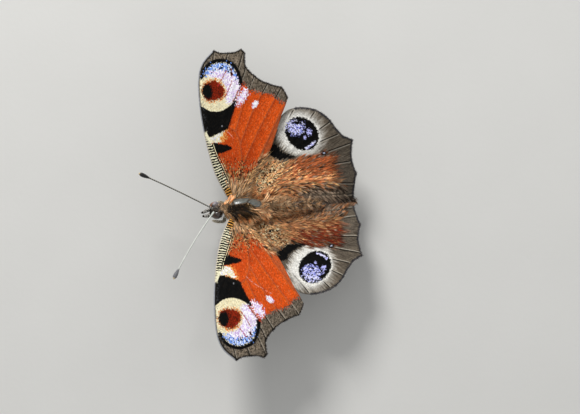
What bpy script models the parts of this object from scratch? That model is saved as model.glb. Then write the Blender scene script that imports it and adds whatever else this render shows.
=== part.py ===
"""A peacock butterfly at life size, standing on the floor with its wings spread.

The head points to -Y, the animal's left is +X and up is +Z. Sizes are in millimetres until the
meshes are made, which are in metres. The wings are drawn in plan, as (out, back): out from the
middle plane of the body, back from the root of the forewing. A height field lifts them.
"""

import math

import bmesh
import bpy
import numpy as np
from mathutils import Matrix, Vector
from mathutils.geometry import delaunay_2d_cdt

MM = 0.001
GAP = 0.3
LEFT, RIGHT = 1.0, -1.0
SIDES = {"left": LEFT, "right": RIGHT}

# Wings: thickness, dihedral and camber
WING_THICKNESS = 0.5
VEIN_RIDGE = 0.14
VEIN_HALF_WIDTH = 0.42
WING_ROOT_OUT = 2.6
FOREWING_ROOT_HEIGHT = 9.0
ROOT_SLOPE = 0.30
TIP_SLOPE = 0.08
WING_TIP_OUT = 31.2
BACKWARD_FALL = 0.05
HINDWING_BELOW = WING_THICKNESS + GAP + 2 * VEIN_RIDGE
GUTTER_DEPTH = 0.9
GUTTER_WIDTH = 5.0
GRID_STEP = 2.1
EDGE_STEP = 1.3
VEIN_STEP = 1.6
CLEAR_OF_VEIN = 0.5
CLEAR_OF_RIDGE = 0.36
CLEAR_OF_GRID = 1.1
CLEAR_OF_EDGE = 0.35

# How far each wing is turned in plan about its root, in degrees, forwards positive
SWEEP = {
    ("forewing", "left"): -0.6,
    ("forewing", "right"): 0.6,
    ("hindwing", "left"): -0.8,
    ("hindwing", "right"): 1.2,
}

# Forewing, (out, back)
FOREWING_ROOT = (2.6, 1.5)
FOREWING_COSTA = [
    (1.2, 0.7), (3.2, -0.35), (6.6, -1.75), (10.2, -2.65), (15.5, -3.45), (21.0, -3.85), (25.6, -3.65),
    (28.6, -2.65), (31.1, -0.25),
]
FOREWING_MARGIN = [
    ("apex", (31.1, -0.25), 0.25),
    ("r5", (30.4, 2.9), 0.20),
    ("hook", (31.05, 5.35), 0.05),
    ("m1", (30.2, 6.0), 0.12),
    ("m2", (27.4, 5.95), 0.08),
    ("m3", (25.2, 7.9), 0.10),
    ("cu1", (23.9, 10.0), 0.10),
    ("cu2", (23.0, 12.7), -0.12),
    ("tornus", (20.7, 13.85), 0.0),
]
FOREWING_DORSUM = [
    (20.7, 13.85), (18.8, 13.0), (17.0, 12.1), (13.2, 10.6), (9.8, 8.9), (6.6, 6.2), (4.2, 4.6), (1.2, 3.3),
]
FOREWING_VEINS = {
    "subcosta": [(1.5, 1.0), (6.0, -0.7), (10.5, -2.0), (15.5, -3.3)],
    "radius": [(1.6, 1.5), (8.0, 0.1), (15.0, -0.9), (20.0, -2.4), (24.5, -3.4)],
    "r1": [(13.0, -0.7), (17.0, -2.6), (20.0, -3.6)],
    "r3": [(15.0, -0.9), (22.5, -1.9), (28.3, -2.4)],
    "r4": [(19.5, -1.4), (26.0, -0.9), (30.7, -0.2)],
    "r5": [(18.0, -1.1), (25.0, 0.9), (30.3, 2.6)],
    "m1": [(15.6, 0.2), (23.0, 2.9), (30.3, 5.6)],
    "m2": [(15.9, 1.4), (22.0, 3.9), (27.3, 5.9)],
    "m3": [(14.9, 2.9), (20.5, 5.0), (25.5, 7.5)],
    "cross": [(15.0, -0.9), (15.6, 0.2), (15.9, 1.4), (14.9, 2.9)],
    "cubitus": [(1.6, 2.0), (8.0, 3.5), (12.5, 3.6), (14.9, 2.9)],
    "cu1": [(12.2, 3.6), (18.5, 6.6), (23.8, 10.0)],
    "cu2": [(7.8, 3.5), (15.5, 7.9), (22.6, 12.5)],
    "anal": [(1.6, 2.5), (8.5, 6.6), (15.0, 10.4), (19.9, 13.4)],
}

# Hindwing, (out, back)
HINDWING_ROOT = (2.6, 4.9)
HINDWING_COSTA = [
    (1.0, 3.9), (4.0, 4.7), (8.0, 6.6), (12.0, 8.7), (15.9, 11.0), (18.2, 13.3), (18.85, 15.3),
]
HINDWING_MARGIN = [
    ("sc", (18.85, 15.3), -0.22),
    ("rs", (18.1, 19.4), -0.15),
    ("m1", (15.9, 22.0), 0.08),
    ("m2", (13.2, 23.8), 0.15),
    ("tail_front", (12.3, 25.0), 0.05),
    ("tail", (11.7, 26.2), 0.08),
    ("m3", (9.9, 25.8), 0.12),
    ("cu1", (7.5, 25.7), 0.10),
    ("bump", (5.1, 26.4), 0.10),
    ("cu2", (2.7, 25.7), 0.06),
    ("anal", (0.7, 25.35), 0.0),
]
HINDWING_INNER = [(0.7, 25.35), (0.5, 22.5), (0.45, 18.0), (0.45, 12.0), (0.6, 8.0), (1.0, 6.3)]
HINDWING_VEINS = {
    "sc": [(1.5, 4.6), (6.0, 6.3), (12.0, 10.4), (18.3, 14.8)],
    "rs": [(5.0, 6.3), (9.0, 10.0), (13.5, 15.2), (17.6, 19.0)],
    "m1": [(8.6, 10.2), (12.4, 16.5), (15.4, 21.7)],
    "m2": [(8.2, 11.8), (11.2, 18.0), (13.0, 23.2)],
    "m3": [(6.6, 12.2), (9.2, 19.0), (11.1, 25.6)],
    "cell": [(9.0, 10.0), (8.6, 10.2), (8.2, 11.8), (6.6, 12.2)],
    "cubitus": [(1.7, 5.3), (4.2, 8.3), (5.8, 11.0), (6.6, 12.2)],
    "cu1": [(5.8, 11.0), (7.0, 18.0), (7.6, 25.2)],
    "cu2": [(4.2, 8.3), (4.1, 17.0), (3.4, 25.4)],
    "anal": [(2.6, 6.6), (1.9, 14.0), (1.4, 24.9)],
}

# Body, head to the left in each row: (back, half width, half height, centre height)
THORAX_RINGS = [
    (-1.25, 0.75, 0.80, 7.45), (-0.6, 1.65, 1.75, 7.50), (0.8, 2.35, 2.40, 7.60), (2.4, 2.65, 2.75, 7.65),
    (4.2, 2.50, 2.60, 7.60), (5.8, 2.00, 2.15, 7.50), (7.0, 1.55, 1.65, 7.35), (7.6, 1.10, 1.15, 7.30),
]
ABDOMEN_RINGS = [
    (6.6, 1.20, 1.20, 7.30), (7.6, 1.55, 1.55, 7.25), (9.5, 1.90, 1.90, 7.10), (12.0, 1.95, 1.95, 6.90),
    (14.5, 1.60, 1.65, 6.65), (16.6, 1.05, 1.15, 6.45), (17.9, 0.55, 0.65, 6.35), (18.4, 0.20, 0.25, 6.30),
]
ABDOMEN_FIRST_GROOVE = 8.2
ABDOMEN_SEGMENT = 1.42
ABDOMEN_SEGMENTS = 7
ABDOMEN_GROOVE_DEPTH = 0.10
HEAD_RINGS = [
    (-3.65, 0.25, 0.30, 7.15), (-3.35, 0.70, 0.80, 7.25), (-2.6, 1.10, 1.30, 7.40), (-1.8, 1.10, 1.25, 7.50),
    (-1.0, 0.90, 1.00, 7.50), (-0.5, 0.65, 0.70, 7.50),
]
EYE_CENTRE = (0.98, -2.3, 7.45)
EYE_RADII = (0.82, 1.10, 1.15)

# The head is turned about the neck towards the animal's left, and set a little to its right
HEAD_TURN = 13.0
HEAD_SHIFT = -0.33
NECK_BACK = -1.0

# Paths are (out, back, height, radius), from the root to the tip
PALP_PATH = [
    (0.62, -2.9, 6.85, 0.34), (0.64, -3.5, 6.75, 0.37), (0.56, -4.2, 6.90, 0.35), (0.44, -4.9, 7.15, 0.26),
    (0.36, -5.5, 7.45, 0.13),
]
PROBOSCIS_CENTRE = (-3.2, 5.35)
PROBOSCIS_OUTER = 0.95
PROBOSCIS_PITCH = 0.62
PROBOSCIS_TUBE = 0.25
PROBOSCIS_TURNS = 1.15
ANTENNA_LENGTH = 16.25
ANTENNA_ROOT = (0.45, -2.9, 8.3)
ANTENNA_BURIED = 0.6
ANTENNA_RISE = 13.0
ANTENNA_SPREAD = 42.0
ANTENNA_BOW = {"left": 5.0, "right": -2.0}
ANTENNA_SHAFT = 0.26
ANTENNA_CLUB = 0.48
ANTENNA_CLUB_LENGTH = 2.5

FRONT_LEG = [
    (0.8, 0.1, 6.2, 0.36), (1.1, -0.5, 5.4, 0.40), (1.8, -0.8, 5.0, 0.42), (2.2, -1.2, 5.3, 0.38),
    (2.15, -2.0, 5.1, 0.40), (1.9, -2.7, 4.6, 0.36), (1.75, -3.0, 4.2, 0.16),
]
MIDDLE_LEG = [
    (0.8, 2.0, 6.0, 0.50), (1.5, 1.9, 4.6, 0.44), (2.3, 1.7, 4.7, 0.38), (3.8, 1.3, 5.7, 0.38),
    (5.1, 0.9, 6.3, 0.32), (5.6, 0.7, 5.9, 0.30), (6.8, 0.4, 3.4, 0.28), (7.7, 0.1, 1.3, 0.32),
    (8.2, -0.1, 0.5, 0.30), (9.3, -0.5, 0.20, 0.27), (10.6, -1.0, 0.19, 0.25), (11.5, -1.3, 0.19, 0.25),
    (11.9, -1.4, 0.26, 0.14),
]
HIND_LEG = [
    (0.8, 4.3, 6.0, 0.50), (1.3, 4.6, 4.6, 0.44), (2.0, 5.1, 4.5, 0.38), (3.2, 6.1, 5.3, 0.38),
    (4.3, 7.1, 5.8, 0.32), (4.7, 7.6, 5.4, 0.30), (5.5, 9.7, 3.1, 0.28), (6.2, 11.4, 1.3, 0.32),
    (6.5, 12.0, 0.5, 0.30), (6.9, 13.2, 0.20, 0.27), (7.4, 14.5, 0.19, 0.25), (7.8, 15.5, 0.19, 0.25),
    (8.0, 15.9, 0.26, 0.14),
]


def clear_scene():
    """Removes whatever the file holds."""
    for obj in list(bpy.data.objects):
        bpy.data.objects.remove(obj, do_unlink=True)


def material(name, colour, roughness, metallic=0.0):
    """A plain Principled material."""
    made = bpy.data.materials.new(name)
    made.use_nodes = True
    shader = made.node_tree.nodes["Principled BSDF"]
    shader.inputs["Base Color"].default_value = (*colour, 1.0)
    shader.inputs["Roughness"].default_value = roughness
    shader.inputs["Metallic"].default_value = metallic
    return made


def add_mesh(name, points, faces, finish):
    """An object in metres from points in millimetres, with its faces turned out."""
    bm = bmesh.new()
    corners = [bm.verts.new(Vector(p) * MM) for p in points]
    for face in faces:
        bm.faces.new([corners[i] for i in face])
    bmesh.ops.recalc_face_normals(bm, faces=bm.faces)
    mesh = bpy.data.meshes.new(name)
    bm.to_mesh(mesh)
    bm.free()
    obj = bpy.data.objects.new(name, mesh)
    bpy.context.scene.collection.objects.link(obj)
    mesh.materials.append(finish)
    return obj


def smooth_line(points, step):
    """Points about a step apart on a Catmull-Rom curve through the given ones, in any dimension."""
    known = np.array(points, float)
    padded = np.vstack([2 * known[0] - known[1], known, 2 * known[-1] - known[-2]])
    line = []
    for i in range(1, len(padded) - 2):
        before, start, end, after = padded[i - 1 : i + 3]
        count = max(1, round(float(np.linalg.norm(end - start)) / step))
        for t in np.arange(count) / count:
            line.append(
                0.5
                * (
                    2 * start
                    + (end - before) * t
                    + (2 * before - 5 * start + 4 * end - after) * t**2
                    + (3 * start - before - 3 * end + after) * t**3
                )
            )
    return np.array([*line, known[-1]])


def scalloped(margin, root):
    """The wing's outer margin, hollowed towards the root between named points, or bulged if a depth is negative."""
    line = []
    for (_, start, depth), (_, end, _) in zip(margin, margin[1:]):
        start, end = np.array(start), np.array(end)
        along = end - start
        length = float(np.linalg.norm(along))
        inward = np.array([-along[1], along[0]]) / length
        if inward @ (np.array(root) - start) < 0:
            inward = -inward
        count = max(1, round(length / EDGE_STEP))
        for t in np.arange(count) / count:
            line.append(start + along * t + inward * depth * math.sin(math.pi * t))
    return np.array([*line, margin[-1][1]])


def distance_to_line(points, line):
    """The distance of each plan point from a polyline."""
    best = np.full(len(points), np.inf)
    for start, end in zip(line, line[1:]):
        along = end - start
        share = np.clip((points - start) @ along / (along @ along), 0, 1)
        best = np.minimum(best, np.linalg.norm(points - start - share[:, None] * along, axis=1))
    return best


def inside_outline(points, outline):
    """Which plan points lie inside the outline, by the count of edges that each one's ray crosses."""
    inside = np.zeros(len(points), bool)
    for (x0, y0), (x1, y1) in zip(outline, np.roll(outline, -1, axis=0)):
        spans = (y0 > points[:, 1]) != (y1 > points[:, 1])
        crossing = x0 + (points[:, 1] - y0) * (x1 - x0) / np.where(y1 == y0, 1e-9, y1 - y0)
        inside ^= spans & (points[:, 0] < crossing)
    return inside


def beside(line, offset):
    """The polyline moved sideways."""
    ahead = np.gradient(line, axis=0)
    ahead /= np.linalg.norm(ahead, axis=1)[:, None]
    return line + offset * np.column_stack([-ahead[:, 1], ahead[:, 0]])


def plan_mesh(outline, veins):
    """Triangles that fill the outline, with edges along the veins, points beside them and a grid between."""
    kept = [tuple(p) for p in outline]
    border = list(range(len(outline)))
    edges = [(i, (i + 1) % len(border)) for i in border]
    closed = np.vstack([outline, outline[:1]])

    def keep_clear(candidates, spacing, margin, chained=False):
        candidates = np.array(candidates)
        fits = inside_outline(candidates, outline) & (distance_to_line(candidates, closed) > margin)
        last = None
        for p, fitting in zip(candidates, fits):
            if not fitting or np.min(np.linalg.norm(np.array(kept) - p, axis=1)) <= spacing:
                last = None
                continue
            kept.append(tuple(p))
            if chained and last is not None:
                edges.append((last, len(kept) - 1))
            last = len(kept) - 1

    for vein in veins:
        keep_clear(vein, CLEAR_OF_VEIN, CLEAR_OF_EDGE, chained=True)
    for vein in veins:
        for side in (-1, 1):
            keep_clear(beside(vein, side * VEIN_HALF_WIDTH), CLEAR_OF_RIDGE, CLEAR_OF_EDGE, chained=True)
    low, high = outline.min(axis=0), outline.max(axis=0)
    rows = np.arange(low[1], high[1], GRID_STEP * math.sqrt(0.75))
    grid = [
        (x + (i % 2) * GRID_STEP / 2, y)
        for i, y in enumerate(rows)
        for x in np.arange(low[0], high[0], GRID_STEP)
    ]
    keep_clear(grid, CLEAR_OF_GRID, 2 * CLEAR_OF_EDGE)
    verts, _, faces, *_ = delaunay_2d_cdt([Vector(p) for p in kept], edges, [border], 1, 1e-6)
    return np.array([tuple(v) for v in verts]), [tuple(f) for f in faces]


def camber_height(out):
    """How high the wing has risen above its root, at this distance out from the body."""
    run = out - WING_ROOT_OUT
    easing = (ROOT_SLOPE - TIP_SLOPE) / (WING_TIP_OUT - WING_ROOT_OUT)
    return ROOT_SLOPE * run - 0.5 * easing * run**2


def forewing_height(out, back):
    """Height of the middle of the forewing's thickness."""
    return FOREWING_ROOT_HEIGHT + camber_height(out) - BACKWARD_FALL * back


def hindwing_height(out, back):
    """As the forewing's, one thickness and a gap lower, with a gutter along the body."""
    share = np.clip(1 - out / GUTTER_WIDTH, 0, 1)
    gutter = GUTTER_DEPTH * share * share * (3 - 2 * share)
    return forewing_height(out, back) - HINDWING_BELOW - gutter


def turned(points, root, degrees):
    """Plan points turned about the wing's root, forwards positive."""
    angle = math.radians(degrees)
    c, s = math.cos(angle), math.sin(angle)
    offset = points - np.array(root)
    return np.column_stack([c * offset[:, 0] + s * offset[:, 1], -s * offset[:, 0] + c * offset[:, 1]]) + root


def wing(kind, side, outline, veins, root, height, finish):
    """One wing, as thick as WING_THICKNESS with its veins raised on both faces, which have the same triangles."""
    lines = [smooth_line(v, VEIN_STEP) for v in veins.values()]
    plan, triangles = plan_mesh(outline, lines)
    near = np.min([distance_to_line(plan, line) for line in lines], axis=0)
    ridge = VEIN_RIDGE * np.clip(1 - near / VEIN_HALF_WIDTH, 0, 1)
    border = len(outline)
    plan = turned(plan, root, SWEEP[(kind, side)])
    out, back = plan[:, 0], plan[:, 1]
    nudge = 0.01
    z = height(out, back)
    slope_out = (height(out + nudge, back) - z) / nudge
    slope_back = (height(out, back + nudge) - z) / nudge
    normal = np.column_stack([-slope_out, -slope_back, np.ones(len(z))])
    normal /= np.linalg.norm(normal, axis=1)[:, None]
    middle = np.column_stack([out, back, z])
    half = (WING_THICKNESS / 2 + ridge)[:, None]
    top, bottom = middle + normal * half, middle - normal * half
    points = np.vstack([top, bottom]) * [SIDES[side], 1, 1]
    count = len(plan)
    faces = list(triangles) + [tuple(i + count for i in reversed(f)) for f in triangles]
    for i in range(border):
        j = (i + 1) % border
        faces += [(i, j, j + count), (i, j + count, i + count)]
    return add_mesh(f"{kind}_{side}", points, faces, finish)


def forewing_outline():
    """Closed outline of the forewing, from the root along the costa, round the margin and back."""
    costa = smooth_line(FOREWING_COSTA, EDGE_STEP)
    margin = scalloped(FOREWING_MARGIN, FOREWING_ROOT)
    dorsum = smooth_line(FOREWING_DORSUM, EDGE_STEP)
    return np.vstack([costa[:-1], margin[:-1], dorsum])


def hindwing_outline():
    """Closed outline of the hindwing, from the root along the costa, round the margin and up the inner edge."""
    costa = smooth_line(HINDWING_COSTA, EDGE_STEP)
    margin = scalloped(HINDWING_MARGIN, HINDWING_ROOT)
    inner = smooth_line(HINDWING_INNER, EDGE_STEP)
    return np.vstack([costa[:-1], margin[:-1], inner])


def skin_rings(rings):
    """Triangles that join rings of points in order, with a fan over each end."""
    count = len(rings[0])
    points = [p for ring in rings for p in ring]
    faces = []
    for i in range(len(rings) - 1):
        for j in range(count):
            k = (j + 1) % count
            a, b = i * count + j, i * count + k
            faces += [(a, b, b + count), (a, b + count, a + count)]
    for first, ring in ((0, rings[0]), ((len(rings) - 1) * count, rings[-1])):
        points.append(np.mean(ring, axis=0))
        faces += [(len(points) - 1, first + j, first + (j + 1) % count) for j in range(count)]
    return points, faces


def turned_body(name, sections, step, sides, finish, groove=None):
    """A closed body from oval sections along Y. groove gives the share taken off the radius at a place."""
    rings = []
    for back, half_width, half_height, centre in smooth_line(sections, step):
        share = 1 - (groove(back) if groove else 0)
        rings.append(
            [
                (half_width * share * math.cos(a), back, centre + half_height * share * math.sin(a))
                for a in np.arange(sides) * 2 * math.pi / sides
            ]
        )
    return add_mesh(name, *skin_rings(rings), finish)


def abdomen_groove(back):
    """A narrow waist at each joint between two segments."""
    place = (back - ABDOMEN_FIRST_GROOVE) / ABDOMEN_SEGMENT
    if not -0.5 < place < ABDOMEN_SEGMENTS - 0.5:
        return 0.0
    return ABDOMEN_GROOVE_DEPTH * max(0.0, 1 - 4.0 * abs(place - round(place)))


def tube(name, path, step, sides, side, finish):
    """A closed tube along (out, back, height, radius), with rings square to the path."""
    line = smooth_line(path, step)
    centres, radii = line[:, :3] * [side, 1, 1], np.maximum(line[:, 3], 0.1)
    ahead = np.gradient(centres, axis=0)
    ahead /= np.linalg.norm(ahead, axis=1)[:, None]
    across = np.cross(ahead[0], (0.0, 0.0, 1.0))
    rings = []
    for centre, direction, radius in zip(centres, ahead, radii):
        across = across - direction * (across @ direction)
        across /= np.linalg.norm(across)
        upward = np.cross(across, direction)
        rings.append(
            [
                centre + radius * (math.cos(a) * across + math.sin(a) * upward)
                for a in np.arange(sides) * 2 * math.pi / sides
            ]
        )
    return add_mesh(name, *skin_rings(rings), finish)


def eye(side_name, finish):
    """A compound eye: an oval ball that the head then parts."""
    bm = bmesh.new()
    bmesh.ops.create_icosphere(bm, subdivisions=3, radius=1.0)
    points = [
        (
            SIDES[side_name] * EYE_CENTRE[0] + v.co.x * EYE_RADII[0],
            EYE_CENTRE[1] + v.co.y * EYE_RADII[1],
            EYE_CENTRE[2] + v.co.z * EYE_RADII[2],
        )
        for v in bm.verts
    ]
    faces = [tuple(v.index for v in f.verts) for f in bm.faces]
    bm.free()
    return add_mesh(f"eye_{side_name}", points, faces, finish)


def antenna_path(side_name):
    """From inside the head out to the tip, rising, bowed a little, with a club at the end."""
    rise = math.radians(ANTENNA_RISE)
    places = [-ANTENNA_BURIED, 0.6, 3.0, 6.0, 9.0, 12.0]
    club = ANTENNA_LENGTH - ANTENNA_CLUB_LENGTH
    places += [club, club + 0.8, club + 1.5, ANTENNA_LENGTH - 0.35, ANTENNA_LENGTH]
    radii = [ANTENNA_SHAFT] * 7 + [0.7 * ANTENNA_CLUB, ANTENNA_CLUB, 0.8 * ANTENNA_CLUB, 0.35 * ANTENNA_CLUB]
    path = []
    for along, radius in zip(places, radii):
        bow = ANTENNA_BOW[side_name] * (along / ANTENNA_LENGTH - 0.5)
        heading = math.radians(ANTENNA_SPREAD + bow)
        level = along * math.cos(rise)
        path.append(
            (
                ANTENNA_ROOT[0] + level * math.sin(heading),
                ANTENNA_ROOT[1] - level * math.cos(heading),
                ANTENNA_ROOT[2] + along * math.sin(rise),
                radius,
            )
        )
    return path


def proboscis(finish):
    """The coiled tongue, a flat spiral between the palps."""
    path = []
    for turn in np.linspace(0, PROBOSCIS_TURNS, 10):
        angle = math.pi * (0.42 - 2 * turn)
        radius = PROBOSCIS_OUTER - PROBOSCIS_PITCH * turn
        path.append(
            (
                0.0,
                PROBOSCIS_CENTRE[0] + radius * math.cos(angle),
                PROBOSCIS_CENTRE[1] + radius * math.sin(angle),
                PROBOSCIS_TUBE,
            )
        )
    path.insert(0, (0.0, path[0][1] + 0.35, path[0][2] + 0.75, PROBOSCIS_TUBE))
    return tube("proboscis", path, 0.3, 8, 1.0, finish)


def turn_with_head(obj):
    """Turns a piece that the head carries about the neck."""
    about = Matrix.Translation(Vector((HEAD_SHIFT, NECK_BACK, 0.0)) * MM)
    home = Matrix.Translation(Vector((0.0, -NECK_BACK, 0.0)) * MM)
    obj.data.transform(about @ Matrix.Rotation(math.radians(HEAD_TURN), 4, "Z") @ home)


def grown(obj, by):
    """A copy of the object, pushed out along its normals by a distance in millimetres, hidden from the render."""
    copy = obj.copy()
    copy.data = obj.data.copy()
    bpy.context.scene.collection.objects.link(copy)
    for vertex, normal in zip(copy.data.vertices, [n.vector.copy() for n in copy.data.vertex_normals]):
        vertex.co += normal * by * MM
    return copy


def apply_boolean(obj, other, operation, solver="EXACT"):
    """Joins or cuts with another object, and applies it."""
    modifier = obj.modifiers.new("join", "BOOLEAN")
    modifier.operation = operation
    modifier.solver = solver
    modifier.object = other
    bpy.context.view_layer.update()
    graph = bpy.context.evaluated_depsgraph_get()
    mesh = bpy.data.meshes.new_from_object(obj.evaluated_get(graph))
    obj.modifiers.clear()
    obj.data = mesh


def keep_largest(obj):
    """Drops every closed surface of the object but its largest."""
    bm = bmesh.new()
    bm.from_mesh(obj.data)
    bmesh.ops.remove_doubles(bm, verts=bm.verts, dist=1e-7)
    waiting = set(bm.verts)
    pieces = []
    while waiting:
        piece, front = set(), [next(iter(waiting))]
        while front:
            vertex = front.pop()
            if vertex in piece:
                continue
            piece.add(vertex)
            front += [e.other_vert(vertex) for e in vertex.link_edges]
        waiting -= piece
        pieces.append(piece)
    largest = max(pieces, key=len)
    bmesh.ops.delete(bm, geom=[v for v in bm.verts if v not in largest], context="VERTS")
    bm.to_mesh(obj.data)
    bm.free()


def part_from(obj, neighbour, gap=GAP):
    """Cuts the object clear of its neighbour by the gap."""
    cutter = grown(neighbour, gap)
    apply_boolean(obj, cutter, "DIFFERENCE")
    bpy.data.objects.remove(cutter, do_unlink=True)
    keep_largest(obj)


def flatten_sole(obj):
    """Cuts off what would reach below the floor, which leaves the small flats that the foot stands on."""
    bm = bmesh.new()
    bm.from_mesh(obj.data)
    geometry = bm.verts[:] + bm.edges[:] + bm.faces[:]
    cut = bmesh.ops.bisect_plane(
        bm, geom=geometry, dist=1e-8, plane_co=(0, 0, 0), plane_no=(0, 0, -1), clear_outer=True
    )
    edges = [e for e in cut["geom_cut"] if isinstance(e, bmesh.types.BMEdge)]
    bmesh.ops.contextual_create(bm, geom=edges)
    bmesh.ops.holes_fill(bm, edges=bm.edges[:], sides=0)
    bmesh.ops.triangulate(bm, faces=bm.faces[:])
    bmesh.ops.recalc_face_normals(bm, faces=bm.faces[:])
    bm.to_mesh(obj.data)
    bm.free()


def set_down(objects):
    """Moves everything so that the origin is on the floor, below the middle of the box."""
    corners = np.array([v.co[:] for obj in objects for v in obj.data.vertices])
    middle = (corners.min(axis=0) + corners.max(axis=0)) / 2
    shift = Vector((-middle[0], -middle[1], -corners[:, 2].min()))
    for obj in objects:
        for vertex in obj.data.vertices:
            vertex.co += shift


def shade(obj):
    """Smooth but for sharp edges."""
    obj.data.shade_smooth()
    obj.data.set_sharp_from_angle(angle=math.radians(40))


def build():
    """Makes every node and parts each from what it grows from."""
    clear_scene()
    fur = material("body_fur", (0.28, 0.13, 0.05), 0.9)
    dark_fur = material("dark_fur", (0.07, 0.045, 0.03), 0.9)
    rust = material("rust_scales", (0.62, 0.10, 0.02), 0.75)
    brown = material("brown_scales", (0.25, 0.12, 0.06), 0.8)
    eye_finish = material("compound_eye", (0.10, 0.045, 0.03), 0.25)
    horn = material("antenna_scales", (0.10, 0.09, 0.08), 0.6)

    thorax = turned_body("thorax", THORAX_RINGS, 0.5, 22, fur)
    abdomen = turned_body("abdomen", ABDOMEN_RINGS, 0.36, 18, dark_fur, abdomen_groove)
    head = turned_body("head", HEAD_RINGS, 0.32, 20, dark_fur)
    part_from(abdomen, thorax)
    turn_with_head(head)
    part_from(head, thorax)

    for side_name, side in SIDES.items():
        eye_ball = eye(side_name, eye_finish)
        palp = tube(f"palp_{side_name}", PALP_PATH, 0.4, 10, side, dark_fur)
        antenna = tube(f"antenna_{side_name}", antenna_path(side_name), 0.9, 8, side, horn)
        for piece in (eye_ball, palp, antenna):
            turn_with_head(piece)
            part_from(piece, head)
        part_from(eye_ball, thorax)
        fore = wing(
            "forewing", side_name, forewing_outline(), FOREWING_VEINS, FOREWING_ROOT, forewing_height, rust
        )
        hind = wing(
            "hindwing", side_name, hindwing_outline(), HINDWING_VEINS, HINDWING_ROOT, hindwing_height, brown
        )
        part_from(fore, thorax)
        part_from(hind, thorax)
        part_from(hind, abdomen)
        for name, path in (("foreleg", FRONT_LEG), ("midleg", MIDDLE_LEG), ("hindleg", HIND_LEG)):
            leg = tube(f"{name}_{side_name}", path, 0.6, 10, side, horn)
            part_from(leg, thorax)
            if name != "foreleg":
                flatten_sole(leg)

    tongue = proboscis(horn)
    turn_with_head(tongue)
    part_from(tongue, head)
    objects = [obj for obj in bpy.context.scene.objects if obj.type == "MESH"]
    set_down(objects)
    for obj in objects:
        shade(obj)


build()
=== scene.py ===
"""A peacock butterfly at life size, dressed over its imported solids.

Places are in millimetres in the part's own plan, (out, back, height): out from the middle plane of the
body, back from the root of the forewing, height above the floor. The head points to -Y and the animal's
left is +X. Meshes are made in metres. Colours are linear.
"""

import logging
import math
from collections.abc import Callable
from dataclasses import dataclass
from enum import Enum
from functools import partial
from typing import ClassVar, Protocol

import bpy
import numpy as np
from mathutils import Matrix, Vector
from mathutils.geometry import delaunay_2d_cdt
from mathutils.kdtree import KDTree


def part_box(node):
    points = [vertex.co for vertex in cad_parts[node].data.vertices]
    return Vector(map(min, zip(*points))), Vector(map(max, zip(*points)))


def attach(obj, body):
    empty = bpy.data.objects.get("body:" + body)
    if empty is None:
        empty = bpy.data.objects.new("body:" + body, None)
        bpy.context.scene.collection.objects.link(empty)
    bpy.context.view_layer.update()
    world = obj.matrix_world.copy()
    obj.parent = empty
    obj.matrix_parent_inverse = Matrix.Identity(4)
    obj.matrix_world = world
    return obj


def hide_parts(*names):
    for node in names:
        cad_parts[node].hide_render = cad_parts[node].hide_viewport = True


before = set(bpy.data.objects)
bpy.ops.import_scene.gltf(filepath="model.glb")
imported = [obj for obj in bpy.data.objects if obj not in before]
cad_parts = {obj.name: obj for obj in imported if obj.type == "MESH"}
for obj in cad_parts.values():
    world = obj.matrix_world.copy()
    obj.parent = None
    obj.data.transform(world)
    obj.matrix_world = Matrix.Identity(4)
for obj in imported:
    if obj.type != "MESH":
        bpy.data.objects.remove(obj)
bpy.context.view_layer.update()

MM = 0.001
LOG = logging.getLogger("butterfly")

Array = np.ndarray
Colour = tuple[float, float, float]
Place = tuple[float, float]
Socket = bpy.types.NodeSocket
Paint = tuple[object, object, object]


class Side(Enum):
    """Which of the animal's own sides a piece is on, as the sign of its X."""

    LEFT = 1.0
    RIGHT = -1.0

    @property
    def word(self) -> str:
        """The side's name as the nodes have it."""
        return self.name.lower()


class Edge(Enum):
    """What breaks up the edge of a marking."""

    SCALES = "scales"
    PATCHES = "patches"
    STREAKS = "streaks"


THORAX_FRONT = -1.25


def body_place() -> Array:
    """Where the plan's origin is in the frame, from the box of the thorax.

    Returns:
        The place in millimetres.
    """
    low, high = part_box("thorax")
    return np.array([(low.x + high.x) / 2 / MM, low.y / MM - THORAX_FRONT, 0.0])


ORIGIN = body_place()


# Lines in plan and in space


def unit(vectors: Array) -> Array:
    """Rows scaled to length one."""
    return vectors / np.maximum(np.linalg.norm(vectors, axis=-1, keepdims=True), 1e-9)


def ease(value: Array, low: float, high: float) -> Array:
    """A smooth step from 0 at low to 1 at high."""
    share = np.clip((value - low) / (high - low), 0.0, 1.0)
    return share * share * (3 - 2 * share)


def bell(value: Array, middle: float, width: float, power: int = 2) -> Array:
    """1 at the middle, falling to about a third at a width from it."""
    return np.exp(-(((value - middle) / width) ** power))


def smooth_line(points: Array, step: float, closed: bool = False) -> Array:
    """Points about a step apart on a Catmull-Rom curve through the given ones.

    Args:
        points: rows of places, with any further values after the third.
        step: the spacing wanted.
        closed: whether the curve runs back to its start.

    Returns:
        The rows along the curve; a closed one doesn't repeat its first row.
    """
    known = np.array(points, float)
    if closed:
        padded = np.vstack([known[-1:], known, known[:2]])
    else:
        padded = np.vstack([2 * known[0] - known[1], known, 2 * known[-1] - known[-2]])
    rows = []
    for i in range(1, len(padded) - 2):
        before, start, end, after = padded[i - 1 : i + 3]
        count = max(1, round(float(np.linalg.norm((end - start)[:3])) / step))
        t = (np.arange(count) / count)[:, None]
        bend = (end - before) * t + (2 * before - 5 * start + 4 * end - after) * t**2
        rows.append(0.5 * (2 * start + bend + (3 * start - before - 3 * end + after) * t**3))
    if not closed:
        rows.append(known[-1:])
    return np.vstack(rows)


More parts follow.
